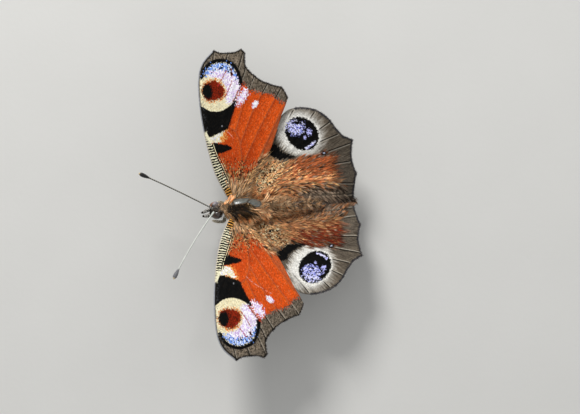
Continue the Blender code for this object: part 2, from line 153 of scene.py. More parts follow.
def nearest_on(points: Array, line: Array) -> tuple[Array, Array]:
    """How far plan points are from a polyline.

    Args:
        points: rows of (out, back).
        line: the polyline's rows.

    Returns:
        The distance of each point, and how far along the line its nearest place is.
    """
    best = np.full(len(points), np.inf)
    along = np.zeros(len(points))
    run = 0.0
    for start, end in zip(line, line[1:]):
        step = end - start
        length = float(np.linalg.norm(step))
        if length < 1e-9:
            continue
        share = np.clip((points - start) @ step / length**2, 0, 1)
        distance = np.linalg.norm(points - start - share[:, None] * step, axis=1)
        closer = distance < best
        best[closer] = distance[closer]
        along[closer] = run + share[closer] * length
        run += length
    return best, along


def beside(points: Array, lines: list[Array]) -> Array:
    """How far plan points are from the nearest of some lines, negative on its front side.

    Args:
        points: rows of (out, back).
        lines: polylines that run outwards.

    Returns:
        The signed distances.
    """
    best = np.full(len(points), np.inf)
    for line in lines:
        for start, end in zip(line, line[1:]):
            step, offset = end - start, points - start
            share = np.clip(offset @ step / max(float(step @ step), 1e-9), 0, 1)
            distance = np.linalg.norm(offset - share[:, None] * step, axis=1)
            signed = np.copysign(distance, step[0] * offset[:, 1] - step[1] * offset[:, 0])
            best = np.where(distance < np.abs(best), signed, best)
    return best


def inside(points: Array, outline: Array) -> Array:
    """Which plan points lie inside a closed outline, by the edges that each one's ray crosses."""
    found = np.zeros(len(points), bool)
    for (x0, y0), (x1, y1) in zip(outline, np.roll(outline, -1, axis=0)):
        spans = (y0 > points[:, 1]) != (y1 > points[:, 1])
        crossing = x0 + (points[:, 1] - y0) * (x1 - x0) / (y1 - y0 if y1 != y0 else 1e-9)
        found ^= spans & (points[:, 0] < crossing)
    return found


def turned(points: Array, root: Place, degrees: float) -> Array:
    """Plan points turned about a wing's root, forwards positive."""
    c, s = math.cos(math.radians(degrees)), math.sin(math.radians(degrees))
    out, back = (points - np.array(root)).T
    return np.column_stack([c * out + s * back, -s * out + c * back]) + root


# Shapes of markings, with a signed depth in millimetres that is negative inside


class Shape(Protocol):
    """A patch of the plan."""

    def depth(self, plan: Array) -> Array:
        """How far outside the patch each point is."""
        ...


@dataclass(frozen=True)
class Blob:
    """A patch with a smooth outline through a few corners."""

    corners: tuple[Place, ...]
    step: float = 0.35

    def depth(self, plan: Array) -> Array:
        """How far outside the patch each point is."""
        outline = smooth_line(np.array(self.corners), self.step, closed=True)
        distance, _ = nearest_on(plan, np.vstack([outline, outline[:1]]))
        return np.where(inside(plan, outline), -distance, distance)


@dataclass(frozen=True)
class Oval:
    """An oval patch, its long axis turned from outwards to backwards by some degrees."""

    centre: Place
    half_long: float
    half_wide: float
    turn: float = 0.0

    def depth(self, plan: Array) -> Array:
        """How far outside the patch each point is, nearly."""
        c, s = math.cos(math.radians(self.turn)), math.sin(math.radians(self.turn))
        offset = plan - np.array(self.centre)
        along = (c * offset[:, 0] + s * offset[:, 1]) / self.half_long
        across = (-s * offset[:, 0] + c * offset[:, 1]) / self.half_wide
        return (np.hypot(along, across) - 1) * min(self.half_long, self.half_wide)


@dataclass(frozen=True)
class Stroke:
    """A band of one width along a smooth line."""

    line: tuple[Place, ...]
    half_width: float

    def depth(self, plan: Array) -> Array:
        """How far outside the band each point is."""
        return nearest_on(plan, smooth_line(np.array(self.line), 0.4))[0] - self.half_width


@dataclass(frozen=True)
class Mark:
    """A marking on a wing: a patch, its colour and the flecks in it."""

    name: str
    shape: Shape
    colour: Colour
    fleck: Colour = (0.0, 0.0, 0.0)
    share: float = 0.0
    soft: float = 0.12
    ragged: float = 0.35
    edge: Edge = Edge.SCALES
    grain: Edge = Edge.SCALES
    specks: float = 0.0
    outside: bool = False
    mirror: Shape | None = None

    def depth(self, plan: Array, side: Side) -> Array:
        """Signed depth of the marking on one side's wing.

        Args:
            plan: rows of (out, back).
            side: the wing's side; the right one may have its own shape.

        Returns:
            The depth in millimetres, negative where the marking is.
        """
        shape = self.mirror if self.mirror and side is Side.RIGHT else self.shape
        depth = shape.depth(plan)
        return -depth if self.outside else depth


# Meshes


def inset(chart: Array) -> Array:
    """A map's places drawn in a little from its edge."""
    return 0.98 * chart + 0.008


ATTRIBUTES = {1: ("FLOAT", "value"), 3: ("FLOAT_VECTOR", "vector"), 4: ("FLOAT_COLOR", "color")}


class Shell:
    """Blocks of points and triangles gathered into one piece."""

    def __init__(self) -> None:
        """Starts empty."""
        self.points: list[Array] = []
        self.triangles: list[Array] = []
        self.finishes: list[Array] = []
        self.corners: list[Array] = []
        self.values: dict[str, list[tuple[int, Array]]] = {}
        self.count = 0

    def add(
        self, points: Array, triangles: Array, finish: int = 0, corners: Array | None = None, **values: Array
    ) -> None:
        """Adds a block.

        Args:
            points: rows in the frame, in millimetres.
            triangles: rows of three indices into them.
            finish: which of the piece's materials the block has.
            corners: the map's place of each triangle corner, three rows for each triangle.
            values: named values for each point, as one column, three or four.
        """
        self.points.append(points)
        self.triangles.append(np.asarray(triangles, np.int32) + self.count)
        self.finishes.append(np.full(len(triangles), finish, np.int32))
        self.corners.append(np.zeros((3 * len(triangles), 2)) if corners is None else corners)
        for name, value in values.items():
            self.values.setdefault(name, []).append((self.count, np.asarray(value, np.float32)))
        self.count += len(points)

    def make(self, name: str, finishes: list[bpy.types.Material], mapped: bool = True) -> bpy.types.Object:
        """Turns the blocks into one object.

        Args:
            name: the piece's name.
            finishes: its materials.
            mapped: whether it keeps its own map for the bake.

        Returns:
            The object, in metres and smooth.
        """
        triangles = np.vstack(self.triangles)
        mesh = bpy.data.meshes.new(name)
        mesh.vertices.add(self.count)
        mesh.vertices.foreach_set("co", (np.vstack(self.points) * MM).astype(np.float32).ravel())
        mesh.loops.add(triangles.size)
        mesh.loops.foreach_set("vertex_index", triangles.ravel())
        mesh.polygons.add(len(triangles))
        mesh.polygons.foreach_set("loop_start", np.arange(0, triangles.size, 3, dtype=np.int32))
        mesh.polygons.foreach_set("material_index", np.concatenate(self.finishes))
        mesh.update(calc_edges=True)
        for key, blocks in self.values.items():
            width = blocks[0][1].shape[1] if blocks[0][1].ndim > 1 else 1
            table = np.zeros((self.count, width), np.float32)
            for start, block in blocks:
                table[start : start + len(block)] = block.reshape(len(block), width)
            kind, slot = ATTRIBUTES[width]
            mesh.attributes.new(key, kind, "POINT").data.foreach_set(slot, table.ravel())
        if mapped:
            layer = mesh.uv_layers.new(name="OFBake")
            layer.data.foreach_set("uv", np.vstack(self.corners).astype(np.float32).ravel())
        mesh.validate()
        mesh.shade_smooth()
        for finish in finishes:
            mesh.materials.append(finish)
        obj = bpy.data.objects.new(name, mesh)
        bpy.context.scene.collection.objects.link(obj)
        LOG.info("%s: %d triangles", name, len(triangles))
        return obj


def outward(points: Array, triangles: Array) -> Array:
    """The triangles of a closed block, all turned to face out."""
    a, b, c = (points[triangles[:, i]] for i in range(3))
    volume = float(np.sum(a * np.cross(b, c)))
    return triangles if volume > 0 else triangles[:, ::-1]


def lofted(rings: Array) -> tuple[Array, Array]:
    """Joins rings of points in order and closes both ends.

    Args:
        rings: an array of (rings, sides, 3).

    Returns:
        The points, the rings' first, and the triangles, turned out.
    """
    rows, sides = rings.shape[:2]
    points = np.vstack([rings.reshape(-1, 3), rings[0].mean(axis=0), rings[-1].mean(axis=0)])
    i, j = (grid.ravel() for grid in np.meshgrid(np.arange(rows - 1), np.arange(sides), indexing="ij"))
    k = (j + 1) % sides
    a, b, c, d = i * sides + j, i * sides + k, (i + 1) * sides + j, (i + 1) * sides + k
    ring = np.arange(sides)
    after = (ring + 1) % sides
    last = (rows - 1) * sides
    front = np.column_stack([np.full(sides, rows * sides), after, ring])
    rear = np.column_stack([np.full(sides, rows * sides + 1), last + ring, last + after])
    triangles = np.vstack([np.column_stack([a, b, d]), np.column_stack([a, d, c]), front, rear])
    return points, outward(points, triangles)


def swept(path: Array, sides: int, flat: float = 1.0) -> tuple[Array, Array, Array]:
    """A closed tube along a path.

    Args:
        path: rows of (x, y, z, radius).
        sides: how many sides the tube has.
        flat: its height as a share of its width.

    Returns:
        The points, the triangles, and for each point (along, around x, around z) with along in the
        path's own length.
    """
    centres, radii = path[:, :3], path[:, 3]
    ahead = unit(np.gradient(centres, axis=0))
    across = np.cross(ahead[0], (0.0, 0.0, 1.0))
    if np.linalg.norm(across) < 1e-6:
        across = np.array([1.0, 0.0, 0.0])
    angles = np.arange(sides) * 2 * math.pi / sides
    rings, facing = [], []
    for centre, direction, radius in zip(centres, ahead, radii):
        across = unit(across - direction * (across @ direction))
        upward = np.cross(across, direction)
        spoke = np.cos(angles)[:, None] * across + flat * np.sin(angles)[:, None] * upward
        rings.append(centre + radius * spoke)
        facing.append(unit(spoke))
    run = np.concatenate([[0.0], np.cumsum(np.linalg.norm(np.diff(centres, axis=0), axis=1))])
    points, triangles = lofted(np.array(rings))
    facing = np.vstack([np.vstack(facing), -ahead[:1], ahead[-1:]])
    along = np.concatenate([np.repeat(run, sides), run[:1], run[-1:]])
    return points, triangles, np.column_stack([along, facing[:, 0], facing[:, 2]])


def dress(obj: bpy.types.Object, slot: str, *nodes: str) -> bpy.types.Object:
    """Lets a piece ride on the part and stand for the CAD nodes named.

    Args:
        obj: the piece.
        slot: the record's material slot; not used.
        nodes: the CAD nodes that it replaces.

    Returns:
        The piece.
    """
    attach(obj, "root")
    if nodes:
        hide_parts(*nodes)
    return obj


def single(
    name: str, slot: str, finish: bpy.types.Material, points: Array, triangles: Array, **values: Array
) -> bpy.types.Object:
    """Makes one closed block a piece that stands for the CAD node of its own name.

    Args:
        name: the piece's name and the node's.
        slot: the record's material slot.
        finish: its material.
        points: rows in the frame, in millimetres.
        triangles: rows of three indices into them.
        values: named values for each point.

    Returns:
        The piece.
    """
    shell = Shell()
    shell.add(points, triangles, **values)
    return dress(shell.make(name, [finish], mapped=False), slot, name)


# Materials


class Graph:
    """A node tree with short ways to add to it."""

    def __init__(self, tree: bpy.types.NodeTree) -> None:
        """Wraps the tree."""
        self.tree = tree

    def feed(self, socket: Socket, value: object) -> None:
        """Links a socket into another, or sets a plain value on it."""
        if isinstance(value, Socket):
            self.tree.links.new(value, socket)
        elif isinstance(value, tuple) and len(value) == 3 and socket.type == "RGBA":
            socket.default_value = (*value, 1.0)
        else:
            socket.default_value = value

    def add(self, kind: str, inputs: dict | None = None, **settings: object) -> bpy.types.Node:
        """A new node of a kind, with its inputs by name or number and its settings."""
        node = self.tree.nodes.new(kind)
        for key, value in settings.items():
            setattr(node, key, value)
        for key, value in (inputs or {}).items():
            self.feed(node.inputs[key], value)
        return node

    def maths(self, operation: str, *values: object, clamp: bool = False) -> Socket:
        """A Math node's result."""
        node = self.add("ShaderNodeMath", dict(enumerate(values)), operation=operation, use_clamp=clamp)
        return node.outputs[0]

    def times(self, first: object, second: object) -> Socket:
        """The product of two values."""
        return self.maths("MULTIPLY", first, second)

    def fitted(self, value: object, factor: object, offset: object) -> Socket:
        """A value times a factor, with an offset added."""
        return self.maths("MULTIPLY_ADD", value, factor, offset)

    def below(self, value: object, limit: object) -> Socket:
        """1 where a value is below a limit, and 0 elsewhere."""
        return self.maths("LESS_THAN", value, limit)

    def vector(self, operation: str, first: object, second: object) -> Socket:
        """A Vector Math node's result; SCALE takes its factor second."""
        inputs = {0: first, "Scale" if operation == "SCALE" else 1: second}
        return self.add("ShaderNodeVectorMath", inputs, operation=operation).outputs[0]

    def stretched(self, place: object, length: object, width: object) -> Socket:
        """A place with its first value divided by a length and its second by a width."""
        size = self.add("ShaderNodeCombineXYZ", {0: length, 1: width, 2: 1.0})
        return self.vector("DIVIDE", place, size.outputs[0])

    def blend(self, share: object, first: object, second: object) -> Socket:
        """A mix of two colours."""
        return self.add("ShaderNodeMix", {0: share, 6: first, 7: second}, data_type="RGBA").outputs[2]

    def lay(self, colour: object, tone: object, share: object, strength: float) -> Socket:
        """A colour with a tone over it, by a share that is weakened to a strength."""
        return self.blend(self.times(share, strength), colour, tone)

    def ramp(self, value: object, start: object, end: object) -> Socket:
        """A smooth step from 0 at start to 1 at end."""
        inputs = {"Value": value, "From Min": start, "From Max": end}
        return self.add("ShaderNodeMapRange", inputs, interpolation_type="SMOOTHSTEP").outputs["Result"]

    def attribute(self, name: str, output: str = "Fac") -> Socket:
        """A value that the mesh carries."""
        return self.add("ShaderNodeAttribute", attribute_name=name).outputs[output]

    def within(self) -> Socket:
        """The place in the object's own frame, in metres."""
        return self.add("ShaderNodeTexCoord").outputs["Object"]

    def noise(self, place: object, scale: float, detail: float = 2.0) -> Socket:
        """Soft noise from 0 to 1 at a place, with features about 1/scale wide."""
        inputs = {"Vector": place, "Scale": scale, "Detail": detail}
        return self.add("ShaderNodeTexNoise", inputs).outputs["Fac"]

    def cells(self, place: object, scale: object, chance: float = 1.0, **settings: object) -> bpy.types.Node:
        """Cells about 1/scale wide, set out of line by chance."""
        inputs = {"Vector": place, "Scale": scale, "Randomness": chance}
        return self.add("ShaderNodeTexVoronoi", inputs, **settings)

    def use(self, group: bpy.types.NodeTree, **values: object) -> bpy.types.Node:
        """Places a node group and feeds its inputs."""
        return self.add("ShaderNodeGroup", values, node_tree=group)


GROUPS: dict[str, bpy.types.NodeTree] = {}
SOCKETS = {"f": "NodeSocketFloat", "c": "NodeSocketColor", "v": "NodeSocketVector"}


def grouped(name: str, takes: str, gives: str, fill: Callable[[Graph, dict], dict]) -> bpy.types.NodeTree:
    """A shader node group, built once and kept.

    Args:
        name: the group's name.
        takes: its inputs, as "kind:Name, kind:Name" with kind f, c or v.
        gives: its outputs, in the same form.
        fill: what builds its nodes, from a dict of input sockets to a dict of output sockets.

    Returns:
        The group.
    """
    if name in GROUPS:
        return GROUPS[name]
    tree = bpy.data.node_groups.new(name, "ShaderNodeTree")
    for words, direction in ((takes, "INPUT"), (gives, "OUTPUT")):
        for word in words.split(", "):
            kind, label = word.split(":")
            tree.interface.new_socket(name=label, in_out=direction, socket_type=SOCKETS[kind])
    graph = Graph(tree)
    entry, leave = graph.add("NodeGroupInput"), graph.add("NodeGroupOutput")
    made = fill(graph, {s.name: s for s in entry.outputs if s.name})
    for label, socket in made.items():
        graph.feed(leave.inputs[label], socket)
    GROUPS[name] = tree
    return tree


def scale_rows() -> bpy.types.NodeTree:
    """The wing's scales: a random pair for each scale, and its lift for bump."""

    def fill(g: Graph, given: dict) -> dict:
        place = g.stretched(given["Plan"], given["Length"], given["Width"])
        cells = g.cells(place, 1.0, 0.8, voronoi_dimensions="2D")
        chance = g.add("ShaderNodeSeparateColor", {0: cells.outputs["Color"]})
        offset = g.add("ShaderNodeSeparateXYZ", {0: g.vector("SUBTRACT", place, cells.outputs["Position"])})
        tilt = g.fitted(offset.outputs[0], 0.7, 0.4)
        lift = g.fitted(chance.outputs[2], 0.3, tilt)
        return dict(zip(("Chance", "Second", "Third", "Lift"), (*chance.outputs, lift)))

    return grouped("scale rows", "v:Plan, f:Length, f:Width", "f:Chance, f:Second, f:Third, f:Lift", fill)


def marking() -> bpy.types.NodeTree:
    """Lays a marking over a colour, its edge broken up by chance, scale by scale or streak by streak."""

    def fill(g: Graph, given: dict) -> dict:
        spread = g.times(g.maths("SUBTRACT", given["Chance"], 0.5), given["Ragged"])
        reach = g.maths("DIVIDE", g.maths("ADD", given["Depth"], spread), given["Soft"])
        mask = g.maths("SUBTRACT", 0.5, reach, clamp=True)
        fleck = g.below(given["Second"], given["Share"])
        colour = g.blend(fleck, given["Colour"], given["Fleck"])
        colour = g.blend(g.below(given["Third"], given["Specks"]), colour, BLACK)
        return {"Over": g.blend(mask, given["Under"], colour)}

    takes = "c:Under, c:Colour, c:Fleck, f:Share, f:Depth, f:Soft, f:Ragged"
    return grouped("marking", takes + ", f:Chance, f:Second, f:Specks, f:Third", "c:Over", fill)


def streaks() -> bpy.types.NodeTree:
    """Fine lines that run along a flow, as hair and folds do, from 0 to 1."""

    def fill(g: Graph, given: dict) -> dict:
        cloud = g.noise(g.stretched(given["Flow"], given["Length"], given["Width"]), 1.0, 3.0)
        return {"Streak": g.ramp(cloud, 0.36, 0.64), "Cloud": cloud}

    return grouped("streaks", "v:Flow, f:Length, f:Width", "f:Streak, f:Cloud", fill)


def hair_tone() -> bpy.types.NodeTree:
    """A hair's shade: it varies from tuft to tuft, and is painted darker at the root, as shade deep in the
    fur.
    """

    def fill(g: Graph, given: dict) -> dict:
        chance = g.fitted(given["Tuft"], given["Spread"], 1.0)
        centred = g.maths("SUBTRACT", chance, g.times(given["Spread"], 0.5))
        # Painted shade: the hair darkens towards its root.
        depth = g.fitted(g.ramp(given["Along"], 0.0, 0.5), 0.4, 0.65)
        return {"Shade": g.vector("SCALE", given["Colour"], g.times(centred, depth))}

    return grouped("hair tone", "c:Colour, f:Tuft, f:Along, f:Spread", "c:Shade", fill)


def fine_grain() -> bpy.types.NodeTree:
    """The tiny dimples and shade changes of horn and skin."""

    def fill(g: Graph, given: dict) -> dict:
        cells = g.cells(given["Place"], given["Fineness"])
        cloud = g.noise(given["Place"], 900.0, 3.0)
        tone = g.fitted(cloud, 0.7, 0.65)
        return {"Shade": g.vector("SCALE", given["Colour"], tone), "Dimple": cells.outputs["Distance"]}

    return grouped("fine grain", "v:Place, c:Colour, f:Fineness", "c:Shade, f:Dimple", fill)


@dataclass(frozen=True)
class Finish:
    """A material, whose own kind says how it is painted, how high its relief is and how it shines."""

    name: str
    bump: ClassVar[float] = 0.010
    specular: ClassVar[float] = 0.5
    sheen: ClassVar[float] = 0.0
    gloss: ClassVar[float] = 0.0

    def paint(self, g: Graph) -> Paint:
        """The colour, the roughness, and the height of the relief or None."""
        raise NotImplementedError

    def material(self) -> bpy.types.Material:
        """Makes the material.

        Returns:
            The material, with the paint on its Principled shader.
        """
        material = bpy.data.materials.new(self.name)
        material.use_nodes = True
        graph = Graph(material.node_tree)
        shader = material.node_tree.nodes["Principled BSDF"]
        colour, roughness, height = self.paint(graph)
        values = {"Base Color": colour, "Roughness": roughness, "Specular IOR Level": self.specular}
        values |= {"Sheen Weight": self.sheen, "Coat Weight": self.gloss}
        if height is not None:
            inputs = {"Distance": self.bump * MM, "Strength": 1.0, "Height": height}
            relief = graph.add("ShaderNodeBump", inputs)
            values["Normal"] = relief.outputs["Normal"]
        for key, value in values.items():
            graph.feed(shader.inputs[key], value)
        return material


# Colours of the scales and the fur

BLACK: Colour = (0.003, 0.003, 0.003)
INK: Colour = (0.010, 0.008, 0.006)
CREAM: Colour = (0.88, 0.80, 0.54)
WHITE: Colour = (0.90, 0.88, 0.93)
ORANGE: Colour = (0.78, 0.098, 0.010)
ORANGE_DEEP: Colour = (0.60, 0.064, 0.006)
ORANGE_PALE: Colour = (0.80, 0.25, 0.09)
AMBER: Colour = (0.86, 0.42, 0.11)
PUPIL_RED: Colour = (0.25, 0.018, 0.004)
PUPIL_DARK: Colour = (0.09, 0.010, 0.003)
LINE_RED: Colour = (0.36, 0.025, 0.025)
LILAC: Colour = (0.70, 0.52, 0.83)
BLUE: Colour = (0.15, 0.29, 0.74)
PALE_BLUE: Colour = (0.72, 0.80, 0.98)
BORDER: Colour = (0.122, 0.099, 0.070)
BORDER_DARK: Colour = (0.040, 0.031, 0.022)
BORDER_PALE: Colour = (0.31, 0.25, 0.19)
BONE: Colour = (0.74, 0.71, 0.64)
BONE_SHADE: Colour = (0.42, 0.38, 0.31)
TAN: Colour = (0.48, 0.22, 0.095)
GOLD: Colour = (0.66, 0.39, 0.17)
GREY_BROWN: Colour = (0.21, 0.155, 0.11)
FOX: Colour = (0.46, 0.25, 0.115)
FOX_PALE: Colour = (0.62, 0.41, 0.23)
FOX_RED: Colour = (0.46, 0.18, 0.055)
FOX_DARK: Colour = (0.045, 0.026, 0.012)
ASH: Colour = (0.20, 0.195, 0.185)
HORN: Colour = (0.035, 0.026, 0.020)
SLATE: Colour = (0.115, 0.118, 0.105)


# Wings

EYESPOT_RING: tuple[Place, ...] = ((25.7, -2.95), (27.2, -2.3), (28.25, -1.15), (28.75, 0.3), (28.65, 1.9),
    (27.9, 3.3), (26.75, 4.1), (25.3, 4.6), (23.9, 4.75))

FOREWING_MARKS = [
    Mark("amber", Blob(((12.0, -2.6), (14.2, -2.6), (14.9, -0.6), (15.1, 1.1), (13.8, 1.2), (12.2, 0.3))),
        AMBER, ORANGE, 0.35, 0.6, 0.8, Edge.PATCHES, Edge.PATCHES, mirror=Blob(((12.7, -2.6), (14.4, -2.6),
        (15.0, -0.4), (15.3, 1.0), (14.2, 0.95), (12.9, 0.35)))),
    Mark("cream_patch", Blob(((12.1, -2.2), (13.9, -2.4), (14.2, -0.7), (14.8, 0.85), (14.1, 0.7),
        (12.4, -0.3))), CREAM, WHITE, 0.35, 0.12, 0.45, Edge.PATCHES, Edge.PATCHES,
        mirror=Blob(((14.15, -3.2), (14.1, -2.0), (14.6, -1.1), (14.9, 0.6), (14.0, 0.1), (13.4, -0.35),
        (12.7, -0.1), (12.75, -1.8), (13.0, -2.9)))),
    Mark("wedge", Blob(((12.0, -1.7), (10.0, -1.4), (9.9, -0.6), (10.25, 0.5), (11.1, 2.3), (11.6, 1.7),
        (11.8, 0.2))), BLACK, INK, 0.2, 0.12, 0.30, Edge.PATCHES, mirror=Blob(((12.7, -1.8), (12.35, -0.1),
        (12.05, 1.3), (11.5, 1.95), (11.05, 1.4), (10.65, 0.15), (10.7, -1.05), (11.5, -1.7)))),
    Mark("block", Blob(((13.9, -4.4), (13.95, -2.0), (14.45, -0.6), (15.05, 1.1), (15.8, 1.8), (17.0, 2.25),
        (18.3, 2.75), (19.6, 3.4), (20.6, 3.55), (21.4, 1.6), (21.6, -1.4), (22.4, -4.6))), BLACK, INK, 0.2,
        0.12, 0.3),
    Mark("border", Blob(((4.0, -9.0), (18.0, -9.0), (23.6, -5.0), (25.2, -2.2), (26.6, -1.2), (27.5, 0.3),
        (27.2, 1.7), (26.4, 2.9), (25.0, 3.9), (24.1, 5.0), (22.8, 6.1), (22.1, 7.6), (21.75, 8.9),
        (21.6, 10.0), (20.8, 11.3), (19.6, 12.8), (19.4, 17.0), (12.0, 18.0), (3.0, 14.0)), 0.5), BORDER,
        BORDER_DARK, 0.28, 0.25, 1.0, Edge.PATCHES, Edge.PATCHES, outside=True),
    Mark("hook", Blob(((26.2, -3.0), (28.6, -2.4), (30.4, 0.0), (30.0, 3.2), (29.0, 4.6), (27.6, 4.6),
        (28.6, 1.5))), (0.23, 0.18, 0.125), BORDER_DARK, 0.30, 0.8, 1.0, Edge.PATCHES, Edge.PATCHES),
    Mark("eyespot", Blob(((25.7, -3.5), *EYESPOT_RING[1:], (22.4, 4.15), (20.9, 3.35), (19.7, 2.2),
        (18.85, 0.5), (18.75, -0.7), (19.0, -1.9), (19.7, -2.95), (20.6, -3.9), (23.3, -4.3))), CREAM,
        (0.86, 0.70, 0.38), 0.18, 0.08, 0.12),
    Mark("lilac_zone", Blob(((20.1, 2.2), (20.7, 3.1), (21.9, 3.9), (24.0, 4.9), (26.3, 4.3), (27.4, 2.5),
        (27.6, 0.4), (27.0, -1.4), (26.2, -1.9), (25.5, -1.0), (25.2, 0.3), (24.0, 1.4), (22.5, 1.6),
        (20.8, 1.4))), (0.95, 0.91, 0.97), LILAC, 0.36, 0.3, 0.5, Edge.PATCHES, Edge.PATCHES),
    Mark("blue_zone", Blob(((25.7, -3.0), (27.15, -2.2), (28.2, -1.0), (28.6, 0.4), (28.45, 1.9),
        (27.7, 3.25), (26.55, 4.05), (24.9, 4.6), (24.8, 4.1), (25.8, 3.4), (26.5, 2.4), (26.8, 1.0),
        (26.7, -0.5), (26.2, -1.5), (25.9, -2.1))), (0.17, 0.32, 0.80), PALE_BLUE, 0.42, 0.2, 1.0,
        Edge.PATCHES, Edge.PATCHES, specks=0.13),
    Mark("ring", Stroke(EYESPOT_RING, 0.40), BLACK, INK, 0.2, 0.10, 0.50, Edge.PATCHES),
    Mark("ring_core", Stroke(EYESPOT_RING, 0.30), BLACK, BLUE, 0.02, 0.08, 0.12, grain=Edge.PATCHES),
    Mark("gap_front", Stroke(((27.2, 0.7), (27.35, 1.3)), 0.17), BLACK, BLUE, 0.2, 0.1, 0.4, Edge.PATCHES),
    Mark("gap_rear", Stroke(((25.7, 2.9), (26.4, 3.1), (27.1, 2.8)), 0.17), BLACK, PUPIL_RED, 0.3, 0.1, 0.4,
        Edge.PATCHES),
    Mark("pupil_glow", Blob(((22.6, -3.2), (24.0, -3.0), (24.9, -2.0), (25.2, -0.7), (24.8, 0.6),
        (23.6, 1.4), (22.4, 1.65), (21.3, 1.2), (20.75, -0.1), (20.65, -1.5), (21.2, -2.7))),
        (0.80, 0.30, 0.08), CREAM, 0.3, 0.15, 0.75, Edge.PATCHES, Edge.PATCHES),
    Mark("pupil", Blob(((22.6, -3.1), (23.9, -2.85), (24.6, -1.9), (24.9, -0.7), (24.5, 0.4), (23.6, 1.15),
        (22.5, 1.35), (21.5, 0.95), (21.0, -0.1), (20.9, -1.4), (21.3, -2.5))), PUPIL_RED, PUPIL_DARK, 0.4,
        0.12, 0.5),
    Mark("pupil_black", Blob(((22.8, -3.1), (23.8, -2.7), (24.35, -1.9), (23.8, -1.25), (22.8, -1.0),
        (21.7, -1.25), (21.35, -1.9), (21.9, -2.8))), BLACK, INK, 0.15, 0.2, 0.4),
    Mark("line_apex", Stroke(((23.8, 0.2), (25.1, 1.05), (26.7, 2.1)), 0.095), LINE_RED, soft=0.10,
        ragged=0.15),
    Mark("line_middle", Stroke(((21.4, 1.3), (23.0, 2.3), (24.7, 3.05)), 0.085), LINE_RED, soft=0.10,
        ragged=0.15),
    Mark("lilac_spot", Blob(((19.9, 3.5), (19.7, 4.2), (20.5, 5.2), (21.8, 6.0), (22.6, 5.95), (23.1, 5.4),
        (22.5, 4.75), (21.3, 3.85))), (0.95, 0.88, 0.97), LILAC, 0.38, 0.3, 0.9, Edge.PATCHES,
        Edge.PATCHES),
    Mark("line_tail", Stroke(((20.5, 2.9), (21.3, 3.4), (22.3, 3.95), (23.4, 4.75), (24.1, 5.35)), 0.14),
        (0.40, 0.035, 0.012), INK, 0.35, 0.1, 0.2, grain=Edge.PATCHES),
    Mark("white_spot", Blob(((18.9, 6.65), (19.1, 7.45), (19.9, 7.95), (20.35, 7.55), (20.15, 7.0),
        (19.5, 6.6))), WHITE, LILAC, 0.2, 0.12, 0.35, Edge.PATCHES, Edge.PATCHES),
    Mark("crease", Stroke(((14.6, 2.9), (15.9, 4.15), (17.35, 6.0), (18.4, 7.7)), 0.045),
        (0.78, 0.50, 0.42), ORANGE, 0.3, 0.08, 0.12, grain=Edge.PATCHES, mirror=Stroke(((14.95, 1.0),
        (14.3, 1.7), (13.45, 2.35)), 0.05)),
    Mark("dot_tail", Oval((17.1, 9.0), 0.16, 0.12), ORANGE_PALE, soft=0.1, ragged=0.2),
    Mark("dot_block", Oval((15.85, 0.4), 0.14, 0.12), (0.4, 0.4, 0.42), soft=0.1, ragged=0.2),
]

HINDWING_RING = Oval((13.8, 15.95), 5.1, 4.7, 136.0)

